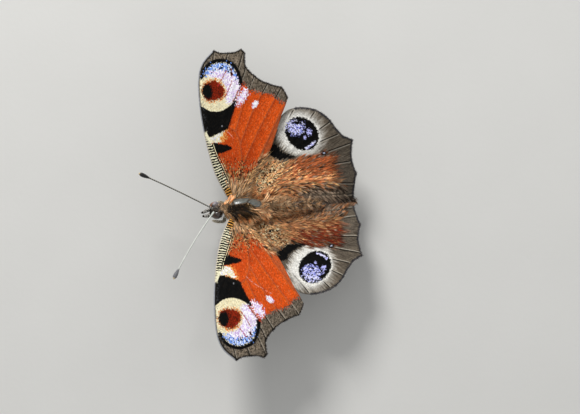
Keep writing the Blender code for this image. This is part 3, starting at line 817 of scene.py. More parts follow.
HINDWING_MARKS = [
    Mark("tan", Blob(((0.6, 3.4), (4.0, 4.0), (8.4, 7.6), (9.0, 10.6), (7.4, 13.0), (5.6, 16.5),
        (5.0, 21.8), (3.2, 22.6), (2.4, 17.0), (1.4, 11.0))), TAN, GOLD, 0.3, 0.9, 2.0, Edge.STREAKS,
        Edge.STREAKS),
    Mark("rust", Blob(((5.0, 13.2), (7.0, 12.3), (8.3, 14.0), (9.0, 17.2), (9.1, 20.9), (7.3, 22.6),
        (4.9, 22.6), (4.3, 19.6), (4.5, 16.5))), (0.36, 0.095, 0.032), (0.14, 0.040, 0.018), 0.5, 1.2, 2.2,
        Edge.STREAKS, Edge.STREAKS),
    Mark("speckle", Blob(((3.4, 5.9), (5.8, 6.3), (8.6, 8.3), (8.5, 10.9), (7.2, 11.9), (5.2, 11.4),
        (3.7, 9.8), (3.1, 7.8))), (0.50, 0.27, 0.12), (0.78, 0.64, 0.38), 0.42, 0.7, 1.0, Edge.PATCHES,
        Edge.PATCHES, specks=0.36),
    Mark("ring", HINDWING_RING, BONE, BONE_SHADE, 0.30, 0.9, 0.7, Edge.STREAKS, Edge.STREAKS),
    Mark("ring_core", Oval((13.6, 16.0), 4.55, 3.9, 136.0), (0.84, 0.82, 0.76), BONE, 0.3, 0.5, 0.3),
    Mark("crescent", Blob(((11.8, 9.4), (11.6, 10.9), (10.5, 11.7), (9.6, 12.9), (8.75, 14.85), (8.4, 14.2),
        (8.4, 12.6), (8.5, 11.3), (9.4, 10.1), (10.5, 9.0))), BLACK, INK, 0.2, 0.2, 0.45, Edge.STREAKS,
        mirror=Blob(((11.8, 9.4), (11.6, 10.9), (10.6, 11.6), (9.8, 12.7), (9.25, 14.35), (8.95, 13.9),
        (8.8, 12.5), (8.8, 11.1), (9.5, 10.0), (10.5, 9.0)))),
    Mark("spot", Oval((13.48, 16.5), 3.58, 2.98, 136.0), BLACK, INK, 0.2, 0.12, 0.3, Edge.PATCHES,
        mirror=Oval((13.45, 16.15), 3.6, 2.98, 136.0)),
    Mark("lilac_big", Blob(((14.25, 13.9), (13.2, 14.85), (13.1, 15.7), (13.15, 16.55), (14.45, 17.5),
        (16.05, 17.1), (16.45, 15.85), (15.7, 14.4))), (0.27, 0.29, 0.70), (0.70, 0.70, 0.98), 0.40, 0.2,
        0.8, Edge.PATCHES, Edge.PATCHES, specks=0.24, mirror=Blob(((15.45, 13.4), (15.85, 14.3),
        (15.3, 15.4), (15.6, 16.7), (14.5, 16.6), (13.35, 16.2), (13.15, 14.7), (13.95, 13.5)))),
    Mark("lilac_glow", Oval((15.7, 15.8), 1.3, 0.5, 68.0), (0.76, 0.76, 0.98), (0.4, 0.4, 0.8), 0.3, 0.3,
        0.8, Edge.PATCHES, Edge.PATCHES, specks=0.12, mirror=Oval((15.35, 14.0), 0.9, 0.35, 60.0)),
    Mark("lilac_side", Oval((13.98, 18.2), 0.74, 0.42, -5.0), (0.50, 0.50, 0.92), BLACK, 0.15, 0.12, 0.4,
        Edge.PATCHES, Edge.PATCHES, mirror=Oval((13.68, 17.62), 0.70, 0.46, 5.0)),
    Mark("lilac_dot", Oval((12.65, 16.7), 0.30, 0.24), (0.48, 0.48, 0.90), BLACK, 0.1, 0.12, 0.3),
    Mark("lilac_bar", Stroke(((10.75, 17.2), (11.25, 18.15), (11.9, 19.0)), 0.20), (0.76, 0.75, 0.98),
        (0.4, 0.4, 0.8), 0.25, 0.12, 0.35, Edge.PATCHES, Edge.PATCHES, mirror=Stroke(((10.55, 16.75),
        (10.95, 17.6), (11.65, 18.5)), 0.19)),
    Mark("dot", Oval((9.35, 20.15), 0.62, 0.42, 110.0), BLACK, soft=0.15, ragged=0.3),
    Mark("dot_eye", Oval((9.35, 20.15), 0.24, 0.17, 110.0), (0.62, 0.64, 0.80), soft=0.1, ragged=0.15),
]


@dataclass(frozen=True)
class Grain:
    """What a wing's colours follow: its scales, patches of them, coarse and fine streaks, and its veins.

    The distance from a vein is the lesser one near it, and the signed one tells its sides apart.
    """

    scales: bpy.types.Node
    patches: bpy.types.Node
    coarse: bpy.types.Node
    fine: bpy.types.Node
    vein: Socket
    off: Socket


MARK_INPUTS = ("colour", "fleck", "share", "soft", "ragged", "specks")


def painted(g: Graph, under: object, marks: tuple[Mark, ...], grain: Grain) -> Socket:
    """Lays markings over a ground colour, first to last.

    Args:
        g: the material's graph.
        under: the ground colour.
        marks: the markings.
        grain: what breaks up their edges and colours.

    Returns:
        The colour with all of them.
    """
    colour = under
    scales, patches = grain.scales.outputs, grain.patches.outputs
    chances = {
        Edge.SCALES: (scales["Chance"], scales["Second"], scales["Third"]),
        Edge.PATCHES: (patches["Chance"], patches["Second"], patches["Third"]),
        Edge.STREAKS: (grain.coarse.outputs["Streak"], grain.fine.outputs["Streak"], scales["Third"]),
    }
    for mark in marks:
        values = {key.title(): getattr(mark, key) for key in MARK_INPUTS}
        chance, (_, second, third) = chances[mark.edge][0], chances[mark.grain]
        values |= {"Chance": chance, "Second": second, "Third": third}
        depth = g.attribute(f"mark_{mark.name}")
        colour = g.use(marking(), Under=colour, Depth=depth, **values).outputs["Over"]
    return colour


@dataclass(frozen=True)
class UpperScales(Finish):
    """The coloured upper side of a wing."""

    marks: tuple[Mark, ...]
    bump: ClassVar[float] = 0.012
    specular: ClassVar[float] = 0.06
    scale_length: float = 0.17
    scale_width: float = 0.10
    patch_length: float = 0.24
    patch_width: float = 0.165

    def ground(self, g: Graph, grain: Grain) -> Socket:
        """The colour under the markings."""
        raise NotImplementedError

    def finish(self, g: Graph, colour: Socket, grain: Grain) -> Socket:
        """What lies over the markings."""
        raise NotImplementedError

    def paint(self, g: Graph) -> Paint:
        """The colour, roughness and relief of the scales."""
        flow, plan = g.attribute("flow", "Vector"), g.attribute("rows", "Vector")
        rows = g.use(scale_rows(), Plan=plan, Length=self.scale_length, Width=self.scale_width)
        vein = g.attribute("vein")
        grain = Grain(
            rows,
            g.use(scale_rows(), Plan=plan, Length=self.patch_length, Width=self.patch_width),
            g.use(streaks(), Flow=flow, Length=3.2, Width=0.26),
            g.use(streaks(), Flow=flow, Length=1.5, Width=0.11),
            vein,
            g.maths("MAXIMUM", g.maths("ABSOLUTE", vein), g.maths("SUBTRACT", g.attribute("off_vein"), 0.15)),
        )
        colour = self.finish(g, painted(g, self.ground(g, grain), self.marks, grain), grain)
        shade = g.fitted(rows.outputs["Second"], 0.24, 0.88)
        shade = g.times(shade, g.fitted(grain.patches.outputs["Third"], 0.36, 0.82))
        return g.vector("SCALE", colour, shade), 0.75, rows.outputs["Lift"]


@dataclass(frozen=True)
class ForewingScales(UpperScales):
    """Orange, with an eyespot at the tip, black patches and a striped leading edge."""

    stripe_pitch: float = 0.52
    line_place: float = 0.06
    ink_place: float = 0.24

    def ground(self, g: Graph, grain: Grain) -> Socket:
        """Orange, with a darker red painted shade behind each vein, a painted highlight ahead of it and a
        painted glint on its crest, brown towards the trailing edge and dusted dark at the root.
        """
        patches = grain.patches.outputs
        fine = grain.fine.outputs["Streak"]
        reach = g.attribute("reach")
        cloud = g.ramp(g.noise(g.attribute("plan", "Vector"), 0.35), 0.35, 0.65)
        colour = g.lay(ORANGE, ORANGE_DEEP, cloud, 0.5)
        colour = g.lay(colour, (0.47, 0.047, 0.008), g.ramp(reach, 13.0, 6.0), 0.6)
        # Painted shade behind each vein and painted light ahead of it, as on pleats lit from one side.
        behind = g.times(g.ramp(grain.vein, 0.68, 0.10), g.ramp(grain.vein, -0.04, 0.04))
        colour = g.lay(colour, (0.44, 0.048, 0.008), behind, 0.55)
        ahead = g.times(g.ramp(grain.vein, -0.66, -0.15), g.ramp(grain.vein, 0.04, -0.04))
        colour = g.lay(colour, (0.82, 0.14, 0.012), ahead, 0.4)
        for share, chance, tone in ((0.35, 0.12, ORANGE_PALE), (0.45, 0.20, (0.36, 0.040, 0.007))):
            fleck = g.below(patches["Chance" if chance < 0.15 else "Second"], chance)
            colour = g.lay(colour, tone, fleck, share)
        colour = g.lay(colour, (0.36, 0.045, 0.007), fine, 0.25)
        trailing = g.ramp(g.attribute("trailing"), 0.6, -0.5)
        brown = g.times(trailing, g.fitted(fine, 0.55, 0.15))
        colour = g.blend(brown, colour, (0.34, 0.12, 0.045))
        colour = g.lay(colour, (0.30, 0.045, 0.012), g.ramp(grain.off, 0.24, 0.05), 0.4)
        # Painted highlight: a thin pale line along each vein's crest, as a glint.
        colour = g.lay(colour, (0.85, 0.36, 0.20), g.ramp(grain.off, 0.08, 0.02), 0.15)
        near = g.ramp(reach, 9.8, 3.0)
        share = g.times(near, g.fitted(g.ramp(grain.off, 0.8, 0.1), 0.4, 0.75))
        place = g.fitted(patches["Third"], 0.35, g.times(grain.fine.outputs["Cloud"], 0.8))
        dusted = g.below(place, g.fitted(share, 0.49, 0.27))
        dust = g.blend(g.below(patches["Second"], 0.5), (0.40, 0.16, 0.045), (0.020, 0.012, 0.008))
        dust = g.blend(g.maths("GREATER_THAN", patches["Second"], 0.80), dust, (0.66, 0.42, 0.17))
        return g.blend(dusted, colour, dust)

    def finish(self, g: Graph, colour: Socket, grain: Grain) -> Socket:
        """The veins across the border, the stripes along the leading edge and the grey rim."""
        patches = grain.patches.outputs
        border = g.ramp(g.attribute("mark_border"), 0.3, -0.3)
        border = g.times(border, g.ramp(g.attribute("mark_eyespot"), 0.26, 0.42))
        colour = ribbed(g, colour, grain, border, 0.34)
        for share, output, tone in ((0.16, "Chance", BORDER_PALE), (0.30, "Second", BORDER_DARK)):
            fleck = g.times(g.below(patches[output], share), border)
            colour = g.lay(colour, tone, fleck, 0.55)
        inner, striped, along = g.attribute("inner"), g.attribute("striped"), g.attribute("lead_along")
        reach, plan = g.attribute("reach"), g.attribute("plan", "Vector")
        wobble = g.fitted(g.noise(plan, 1.2), 6.0, g.times(g.noise(plan, 3.2), 4.6))
        phase = g.fitted(along, 2 * math.pi / self.stripe_pitch, wobble)
        merged = g.times(g.ramp(along, 11.8, 12.5), g.ramp(inner, 1.1, 0.6))
        bars = g.maths("SUBTRACT", g.ramp(g.maths("SINE", phase), -0.40, -0.20), merged, clamp=True)
        pale = g.blend(g.ramp(reach, 2.6, 1.6), (0.93, 0.87, 0.60), (0.72, 0.34, 0.07))
        band = g.times(g.ramp(inner, self.ink_place - 0.02, self.ink_place + 0.10), striped)
        colour = g.blend(band, colour, g.blend(bars, pale, BLACK))
        freckled = g.times(g.ramp(inner, -0.55, -0.05), g.below(patches["Third"], 0.5))
        freckled = g.times(freckled, g.times(g.ramp(inner, 0.1, 0.0), g.ramp(reach, 10.5, 9.0)))
        colour = g.blend(freckled, colour, BLACK)
        lined = g.times(striped, g.ramp(along, 12.4, 11.6))
        for place, half, line, broken, limit in (
            (self.ink_place, 0.09, BLACK, 0.0, 14.0),
            (self.line_place, 0.065, (0.86, 0.78, 0.48), 0.22, 14.0),
            (-0.12, 0.07, BLACK, 0.30, 14.0),
            (-0.32, 0.06, (0.78, 0.64, 0.34), 0.45, 8.0),
        ):
            away = g.maths("ABSOLUTE", g.maths("SUBTRACT", inner, place))
            mask = g.times(g.ramp(away, half + 0.03, half - 0.03), lined)
            mask = g.times(mask, g.maths("GREATER_THAN", patches["Second"], broken))
            colour = g.blend(g.times(mask, g.ramp(reach, limit, limit - 1.5)), colour, line)
        edge, plain = g.attribute("lead"), g.maths("SUBTRACT", 1.0, striped)
        outside = g.times(plain, g.ramp(g.attribute("mark_eyespot"), -0.2, 0.3))
        dusty = g.times(g.ramp(edge, 1.3, 0.5), g.below(patches["Third"], 0.22))
        colour = g.lay(colour, (0.12, 0.125, 0.135), g.times(dusty, plain), 0.5)
        dark = g.times(g.ramp(edge, 0.62, 0.42), outside)
        colour = g.lay(colour, INK, dark, 0.9)
        narrow = g.times(g.ramp(edge, 0.46, 0.30), g.maths("SUBTRACT", plain, outside, clamp=True))
        colour = g.lay(colour, (0.075, 0.072, 0.075), narrow, 0.85)
        rim = g.blend(striped, (0.40, 0.41, 0.44), (0.60, 0.54, 0.46))
        colour = g.lay(colour, rim, g.ramp(edge, 0.25, 0.13), 0.85)
        ragged = g.fitted(patches["Chance"], 0.24, g.attribute("margin"))
        return g.lay(colour, INK, g.ramp(ragged, 0.50, 0.32), 0.95)


def ribbed(g: Graph, colour: Socket, grain: Grain, border: Socket, highlight_strength: float) -> Socket:
    """The dark veins of a wing's border, each with a painted highlight along one side, and its fine pale
    streaks.

    Args:
        g: the material's graph.
        colour: the colour so far.
        grain: the wing's patterns.
        border: where the border is.
        highlight_strength: how strong the painted highlight along a vein's one side is.

    Returns:
        The colour with them.
    """
    fine = g.times(grain.fine.outputs["Streak"], border)
    colour = g.lay(colour, BORDER_PALE, fine, 0.45)
    coarse = g.times(grain.coarse.outputs["Streak"], border)
    colour = g.lay(colour, BORDER_DARK, coarse, 0.35)
    # Painted highlight: a pale strip along one side of each vein, as if lit from that side.
    lit_flank = g.times(g.ramp(g.maths("ABSOLUTE", g.maths("SUBTRACT", grain.vein, 0.20)), 0.16, 0.06), border)
    lit_flank = g.times(lit_flank, g.ramp(grain.off, 0.5, 0.38))
    colour = g.lay(colour, (0.58, 0.52, 0.42), lit_flank, highlight_strength)
    line = g.times(g.ramp(grain.off, 0.15, 0.06), border)
    return g.blend(line, colour, INK)


@dataclass(frozen=True)
class HindwingScales(UpperScales):
    """Grey-brown and rusty, with a black and lilac eyespot in a pale ring."""

    def ground(self, g: Graph, grain: Grain) -> Socket:
        """Grey-brown with paler streaks."""
        cloud = g.ramp(g.noise(g.attribute("plan", "Vector"), 0.5), 0.35, 0.7)
        colour = g.blend(cloud, BORDER_DARK, BORDER)
        colour = g.lay(colour, BORDER_PALE, grain.coarse.outputs["Streak"], 0.3)
        colour = g.lay(colour, BORDER_DARK, grain.fine.outputs["Streak"], 0.35)
        fleck = g.below(grain.scales.outputs["Chance"], 0.10)
        return g.lay(colour, BORDER_PALE, fleck, 0.5)

    def finish(self, g: Graph, colour: Socket, grain: Grain) -> Socket:
        """The brown shade outside the ring, the veins across the border, the dark edge and the painted light
        of each side.
        """
        ring = g.attribute("mark_ring")
        spot = g.ramp(g.maths("MINIMUM", g.attribute("mark_spot"), g.attribute("mark_dot")), 0.1, 0.5)
        outer = g.times(g.ramp(g.attribute("outward"), 0.5, 4.0), g.ramp(ring, -1.8, 0.0))
        streak = g.fitted(grain.fine.outputs["Streak"], 0.5, 0.35)
        shade = g.times(g.times(outer, spot), streak)
        colour = g.blend(shade, colour, BORDER)
        border = g.times(g.ramp(g.attribute("ribbed"), 0.0, 1.0), g.ramp(ring, -2.0, -0.6))
        colour = ribbed(g, colour, grain, g.times(border, spot), 0.6)
        ragged = g.fitted(grain.patches.outputs["Chance"], 0.3, g.attribute("margin"))
        colour = g.lay(colour, (0.022, 0.024, 0.032), g.ramp(ragged, 0.7, 0.3), 0.9)
        # Painted light and shade by side, from the value that the mesh carries.
        return g.vector("SCALE", colour, g.attribute("bright"))


@dataclass(frozen=True)
class UnderScales(Finish):
    """The bark-dark underside of a wing, with fine wavy cross-lines."""

    bump: ClassVar[float] = 0.012
    specular: ClassVar[float] = 0.15

    def paint(self, g: Graph) -> Paint:
        """The colour, roughness and relief of the scales."""
        plan = g.attribute("plan", "Vector")
        rows = g.use(scale_rows(), Plan=g.attribute("rows", "Vector"), Length=0.17, Width=0.10)
        bands = {"Vector": plan, "Scale": 0.42, "Distortion": 7.0, "Detail": 4.0, "Detail Scale": 1.1}
        wave = g.add("ShaderNodeTexWave", bands, wave_type="BANDS", bands_direction="X")
        lines = g.ramp(wave.outputs["Fac"], 0.35, 0.8)
        colour = g.blend(lines, (0.012, 0.010, 0.009), (0.060, 0.046, 0.034))
        pale = g.ramp(g.noise(plan, 0.22, 3.0), 0.52, 0.72)
        colour = g.lay(colour, (0.13, 0.10, 0.075), pale, 0.5)
        colour = g.blend(g.ramp(g.attribute("off_vein"), 0.18, 0.05), colour, (0.02, 0.016, 0.013))
        shade = g.fitted(rows.outputs["Second"], 0.5, 0.75)
        return g.vector("SCALE", colour, shade), 0.75, rows.outputs["Lift"]


@dataclass(frozen=True)
class HairFinish(Finish):
    """Fur and scale-hair whose colour the mesh carries, tuft by tuft."""

    spread: float = 0.5
    roughness: ClassVar[float] = 0.62
    specular: ClassVar[float] = 0.12
    sheen: ClassVar[float] = 0.05

    def paint(self, g: Graph) -> Paint:
        """The colour and roughness of the hairs."""
        coat, tuft, along = g.attribute("coat", "Color"), g.attribute("tuft"), g.attribute("along")
        tone = g.use(hair_tone(), Colour=coat, Tuft=tuft, Along=along, Spread=self.spread)
        return tone.outputs["Shade"], self.roughness, None


def fill_plan(outline: Array, step: float) -> tuple[Array, Array]:
    """Triangles that fill an outline evenly.

    Args:
        outline: the closed outline's rows.
        step: the spacing of the points inside.

    Returns:
        The plan points, the outline's first, and the triangles.
    """
    low, high = outline.min(axis=0), outline.max(axis=0)
    rows = np.arange(low[1], high[1], step * math.sqrt(0.75))
    columns = np.arange(low[0], high[0], step)
    grid = np.array([(x + (i % 2) * step / 2, y) for i, y in enumerate(rows) for x in columns])
    grid = grid[inside(grid, outline)]
    distance, _ = nearest_on(grid, np.vstack([outline, outline[:1]]))
    grid = grid[distance > 0.5 * step]
    border = list(range(len(outline)))
    edges = [(i, (i + 1) % len(border)) for i in border]
    known = [Vector(p) for p in np.vstack([outline, grid])]
    plan, _, triangles, *_ = delaunay_2d_cdt(known, edges, [border], 1, 1e-7)
    return np.array([tuple(p) for p in plan]), np.array([tuple(t) for t in triangles], np.int32)


def leaders(roots: Array, size: int) -> Array:
    """The hair that each hair gathers to.

    Args:
        roots: the hairs' roots, in no order.
        size: how many hairs gather to one.

    Returns:
        The index of each hair's leader, which is the nearest of one hair in so many.
    """
    chosen = np.arange(0, len(roots), size)
    tree = KDTree(len(chosen))
    for index, leader in enumerate(chosen):
        tree.insert(roots[leader], index)
    tree.balance()
    return chosen[[tree.find(root)[1] for root in roots]]


@dataclass
class Tufts:
    """Many solid hairs in one piece, each a thin three-sided spike that lies down along the skin."""

    roots: Array
    normals: Array
    lie: Array
    lengths: Array
    widths: Array
    colours: Array
    places: Array
    seed: int
    rise: float = 0.55
    rest: float = 0.12
    curl: float = 0.18
    clump: int = 6
    gather: float = 0.6
    levels: tuple[float, ...] = (0.0, 0.45)
    sunk: float = 0.06
    patch: float = 0.003
    # Painted shade and light along each hair: its colour is darkened at the root and lightened at the tip.
    root_tone: float = 0.85
    tip_tone: float = 1.45

    def piece(self, name: str, slot: str, finish: bpy.types.Material) -> bpy.types.Object:
        """Makes the hairs a piece of their own, that rides on the part."""
        shell = Shell()
        self.fill(shell)
        return dress(shell.make(name, [finish]), slot)

    def fill(self, shell: Shell) -> None:
        """Adds the hairs to a shell.

        Args:
            shell: what they are added to.
        """
        count = len(self.roots)
        random = np.random.default_rng(self.seed)
        lead = leaders(self.roots, self.clump)
        lie = 0.15 * self.lie + 0.85 * self.lie[lead]
        pull = self.gather * (self.roots[lead] - self.roots)
        colours = self.colours[lead]
        tone = random.random(count)
        tone = 0.15 * tone + 0.85 * tone[lead]
        normal = unit(self.normals)
        lie = unit(lie - normal * np.sum(lie * normal, axis=1, keepdims=True))
        across = np.cross(lie, normal)
        length = (0.5 * self.lengths + 0.5 * self.lengths[lead])[:, None]
        curl = random.normal(0.0, self.curl, (count, 1))
        curl = 0.2 * curl + 0.8 * curl[lead]
        levels = (*self.levels, 1.0)
        points, shares, sideways = [], [], []
        for t in levels:
            height = self.rise * t * (1 - t) + self.rest * t
            centre = self.roots - self.sunk * normal + pull * t
            centre = centre + length * (lie * t + normal * height + across * curl * t * t)
            width = (self.widths * (1 - t) ** 0.7)[:, None]
            if t == 1.0:
                points.append(centre)
                shares.append(t)
                sideways.append(0.0)
                continue
            for sway, up in ((0.5, 0.0), (0.0, 0.5), (-0.5, 0.0)):
                points.append(centre + width * (sway * across + up * normal))
                shares.append(t)
                sideways.append(sway)
        per = len(points)
        stacked = np.stack(points, axis=1).reshape(-1, 3)
        faces = [(0, 1, 2)]
        for level in range(len(self.levels) - 1):
            for j in range(3):
                a, b = 3 * level + j, 3 * level + (j + 1) % 3
                faces += [(a, a + 3, b + 3), (a, b + 3, b)]
        last = 3 * (len(self.levels) - 1)
        faces += [(last + j, per - 1, last + (j + 1) % 3) for j in range(3)]
        triangles = (np.array(faces)[None] + per * np.arange(count)[:, None, None]).reshape(-1, 3)
        t = np.array(shares)[None, :, None]
        # Painted shade at the root and painted light at the tip.
        coat = colours[:, None] * (self.root_tone * (1 - t) + self.tip_tone * t)
        coat = np.concatenate([coat, np.ones((count, per, 1))], axis=2).reshape(-1, 4)
        patch = self.patch * np.column_stack([sideways, shares])
        places = (self.places[:, None] + patch[None]).reshape(-1, 2)
        shell.add(
            stacked,
            triangles,
            corners=places[triangles.ravel()],
            coat=coat,
            tuft=np.repeat(tone, per),
            along=np.tile(shares, count),
        )


def shades(random: np.random.Generator, choices: list[Colour], weights: Array) -> Array:
    """A colour for each hair, drawn by weight.

    Args:
        random: the source of chance.
        choices: the colours.
        weights: a row of weights for each hair, one for each colour.

    Returns:
        A row of colour for each hair.
    """
    share = np.cumsum(np.maximum(weights, 0.0), axis=1)
    draw = random.random(len(weights)) * share[:, -1]
    chosen = (draw[:, None] > share).sum(axis=1)
    return np.array(choices)[np.minimum(chosen, len(choices) - 1)]


@dataclass
class Wing:
    """A wing with veins raised on both faces and a fringe along its margin."""

    side: Side
    upper: bpy.types.Material
    under: bpy.types.Material
    hair: bpy.types.Material
    step: float = 0.20
    half_thickness: float = 0.085
    vein_rise: float = 0.07
    vein_width: float = 0.15
    swell: float = 0.14
    swell_width: float = 0.8
    vein_reach: float = 0.7
    fringe_length: float = 0.36
    fringe_pitch: float = 0.05
    kind: ClassVar[str] = ""
    slot: ClassVar[str] = ""
    grain_turn: ClassVar[float] = 0.0
    root: ClassVar[Place] = (0.0, 0.0)
    sweep: ClassVar[dict[Side, float]] = {}
    flow_root: ClassVar[Place] = (1.0, 1.5)
    fringe_seed: ClassVar[int] = 11
    tuft_seed: ClassVar[int] = 5
    fringe_centre: ClassVar[tuple[float, float]] = (4.0, 6.0)
    pattern_shift: ClassVar[float] = 40.0
    costa: ClassVar[list[Place]] = []
    margin: ClassVar[list[tuple[Place, float]]] = []
    dorsum: ClassVar[list[Place]] = []
    veins: ClassVar[dict[str, list[Place]]] = {}
    marks: ClassVar[list[Mark]] = []
    mark_shift: ClassVar[float] = 0.2

    def edges(self, step: float) -> tuple[Array, Array, Array]:
        """The leading edge, the outer margin and the trailing edge."""
        costa, dorsum = (smooth_line(np.array(line), step) for line in (self.costa, self.dorsum))
        return costa, self.scalloped(step), dorsum

    def height(self, plan: Array) -> Array:
        """Height of the middle of the wing's thickness."""
        raise NotImplementedError

    def extras(self, plan: Array, lead: Array) -> dict[str, Array]:
        """Values that only this kind of wing's scales read."""
        raise NotImplementedError

    @property
    def name(self) -> str:
        """The CAD node's name, and the piece's."""
        return f"{self.kind}_{self.side.word}"

    def scalloped(self, step: float) -> Array:
        """The outer margin, hollowed towards the root between its points, or bulged by a negative depth."""
        line = []
        for (start, depth), (end, _) in zip(self.margin, self.margin[1:]):
            first, last = np.array(start), np.array(end)
            along = last - first
            length = float(np.linalg.norm(along))
            inward = np.array([-along[1], along[0]]) / length
            if inward @ (np.array(self.root) - first) < 0:
                inward = -inward
            count = max(1, round(length / step))
            t = (np.arange(count) / count)[:, None]
            line.append(first + along * t + inward * depth * np.sin(math.pi * t))
        return np.vstack([*line, [self.margin[-1][0]]])

    def outline(self, step: float) -> Array:
        """The closed outline's rows."""
        edges = self.edges(step)
        return np.vstack([edges[0][:-1], edges[1][:-1], edges[2]])

    def vein_lines(self) -> list[Array]:
        """The veins as smooth lines."""
        return [smooth_line(np.array(v), 0.5) for v in self.veins.values()]

    def place(self, plan: Array, lift: Array | float = 0.0) -> tuple[Array, Array]:
        """Where plan points are in the frame, and which way the wing faces there.

        Args:
            plan: rows of (out, back), before the wing is turned about its root.
            lift: how far above the middle of the wing, along its normal.

        Returns:
            The points in millimetres, and the normals.
        """
        moved = turned(plan, self.root, self.sweep[self.side])
        nudge = 0.01
        z = self.height(moved)
        slope_out = (self.height(moved + [nudge, 0.0]) - z) / nudge
        slope_back = (self.height(moved + [0.0, nudge]) - z) / nudge
        normal = unit(np.column_stack([-slope_out, -slope_back, np.ones(len(z))]))
        points = np.column_stack([moved, z]) + normal * np.reshape(lift, (-1, 1))
        flip = [self.side.value, 1.0, 1.0]
        return points * flip + ORIGIN, normal * flip

    def values(self, plan: Array, edges: tuple[Array, Array, Array], vein: Array) -> dict[str, Array]:
        """What the scales' material reads at each point."""
        lead, along = nearest_on(plan, edges[0])
        margin, _ = nearest_on(plan, edges[1])
        offset = plan - self.flow_root
        reach = np.linalg.norm(offset, axis=1)
        angle = np.arctan2(offset[:, 1], offset[:, 0])
        seed = self.pattern_shift * self.side.value
        flat = np.zeros(len(plan))
        found = {
            "plan": np.column_stack([plan + seed, flat]),
            "rows": np.column_stack([turned(plan, self.root, self.grain_turn) + seed, flat]),
            "flow": np.column_stack([reach, angle * 12.0 + seed, flat]),
            "lead": lead,
            "lead_along": along,
            "margin": margin,
            "vein": np.clip(vein, -self.vein_reach, self.vein_reach),
            "off_vein": np.abs(vein),
            "reach": np.linalg.norm(plan - self.root, axis=1),
        }
        shifted = plan + [self.mark_shift * self.side.value, 0.0]
        for mark in self.marks:
            found[f"mark_{mark.name}"] = mark.depth(shifted, self.side)
        return found | self.extras(plan, along)

    def chart(self, plan: Array) -> Array:
        """The map's place of plan points on the upper side, which has the lower half of the map."""
        outline = self.outline(0.5)
        low, high = outline.min(axis=0), outline.max(axis=0)
        long = 0 if (high - low)[0] >= (high - low)[1] else 1
        size = 0.95 / max((high - low)[long], 2.06 * (high - low)[1 - long])
        return (plan - low)[:, [long, 1 - long]] * size + 0.01

    def relief(self, plan: Array, vein: Array, outline: Array) -> tuple[Array, Array]:
        """How far the membrane bulges up, and half its thickness.

        Args:
            plan: rows of (out, back).
            vein: the distance to the nearest vein.
            outline: the wing's outline.

        Returns:
            The bulge and half the thickness at each place.
        """
        border, _ = nearest_on(plan, np.vstack([outline, outline[:1]]))
        ridge = self.vein_rise * bell(vein, 0.0, self.vein_width)
        swell = self.swell * bell(vein, 0.0, self.swell_width) * ease(border, 0.0, 1.2)
        return swell, (self.half_thickness + ridge) * (0.35 + 0.65 * ease(border, 0.0, 0.4))

    def on_top(self, plan: Array) -> tuple[Array, Array]:
        """Places on the wing's upper face, and which way it faces there."""
        swell, half = self.relief(plan, beside(plan, self.vein_lines()), self.outline(0.5))
        return self.place(plan, swell + half)

    def build(self) -> bpy.types.Object:
        """Makes the wing.

        Returns:
            The piece, which stands for the CAD wing.
        """
        edges, outline = self.edges(self.step), self.outline(self.step)
        plan, triangles = fill_plan(outline, self.step)
        vein = beside(plan, self.vein_lines())
        swell, half = self.relief(plan, vein, outline)
        values = self.values(plan, edges, vein)
        top, _ = self.place(plan, swell + half)
        bottom, _ = self.place(plan, swell - half)
        upward = triangles if self.side is Side.LEFT else triangles[:, ::-1]
        chart = self.chart(plan)
        lower = chart + [0.0, 0.5]
        shell = Shell()
        shell.add(top, upward, 0, chart[upward.ravel()], **values)
        shell.add(bottom, upward[:, ::-1], 1, lower[upward[:, ::-1].ravel()], **values)
        self.rim(shell, len(outline), len(plan))
        self.fringe(shell, edges[1])
        return dress(shell.make(self.name, [self.upper, self.under, self.hair]), self.slot, self.name)

    def rim(self, shell: Shell, border: int, count: int) -> None:
        """Closes the edge between the two faces.

        Args:
            shell: the wing's shell, with both faces in it.
            border: how many points the outline has.
            count: how many points each face has.
        """
        i = np.arange(border)
        j = (i + 1) % border
        around = np.vstack([np.column_stack([i, i + count, j + count]), np.column_stack([i, j + count, j])])
        if self.side is Side.RIGHT:
            around = around[:, ::-1]
        share = np.where(around % count == 0, 0.0, (around % count) / border)
        level = np.where(around >= count, 0.995, 0.988)
        corners = np.stack([share, level], axis=2).reshape(-1, 2)
        shell.triangles.append(around.astype(np.int32))
        shell.finishes.append(np.zeros(len(around), np.int32))
        shell.corners.append(corners)

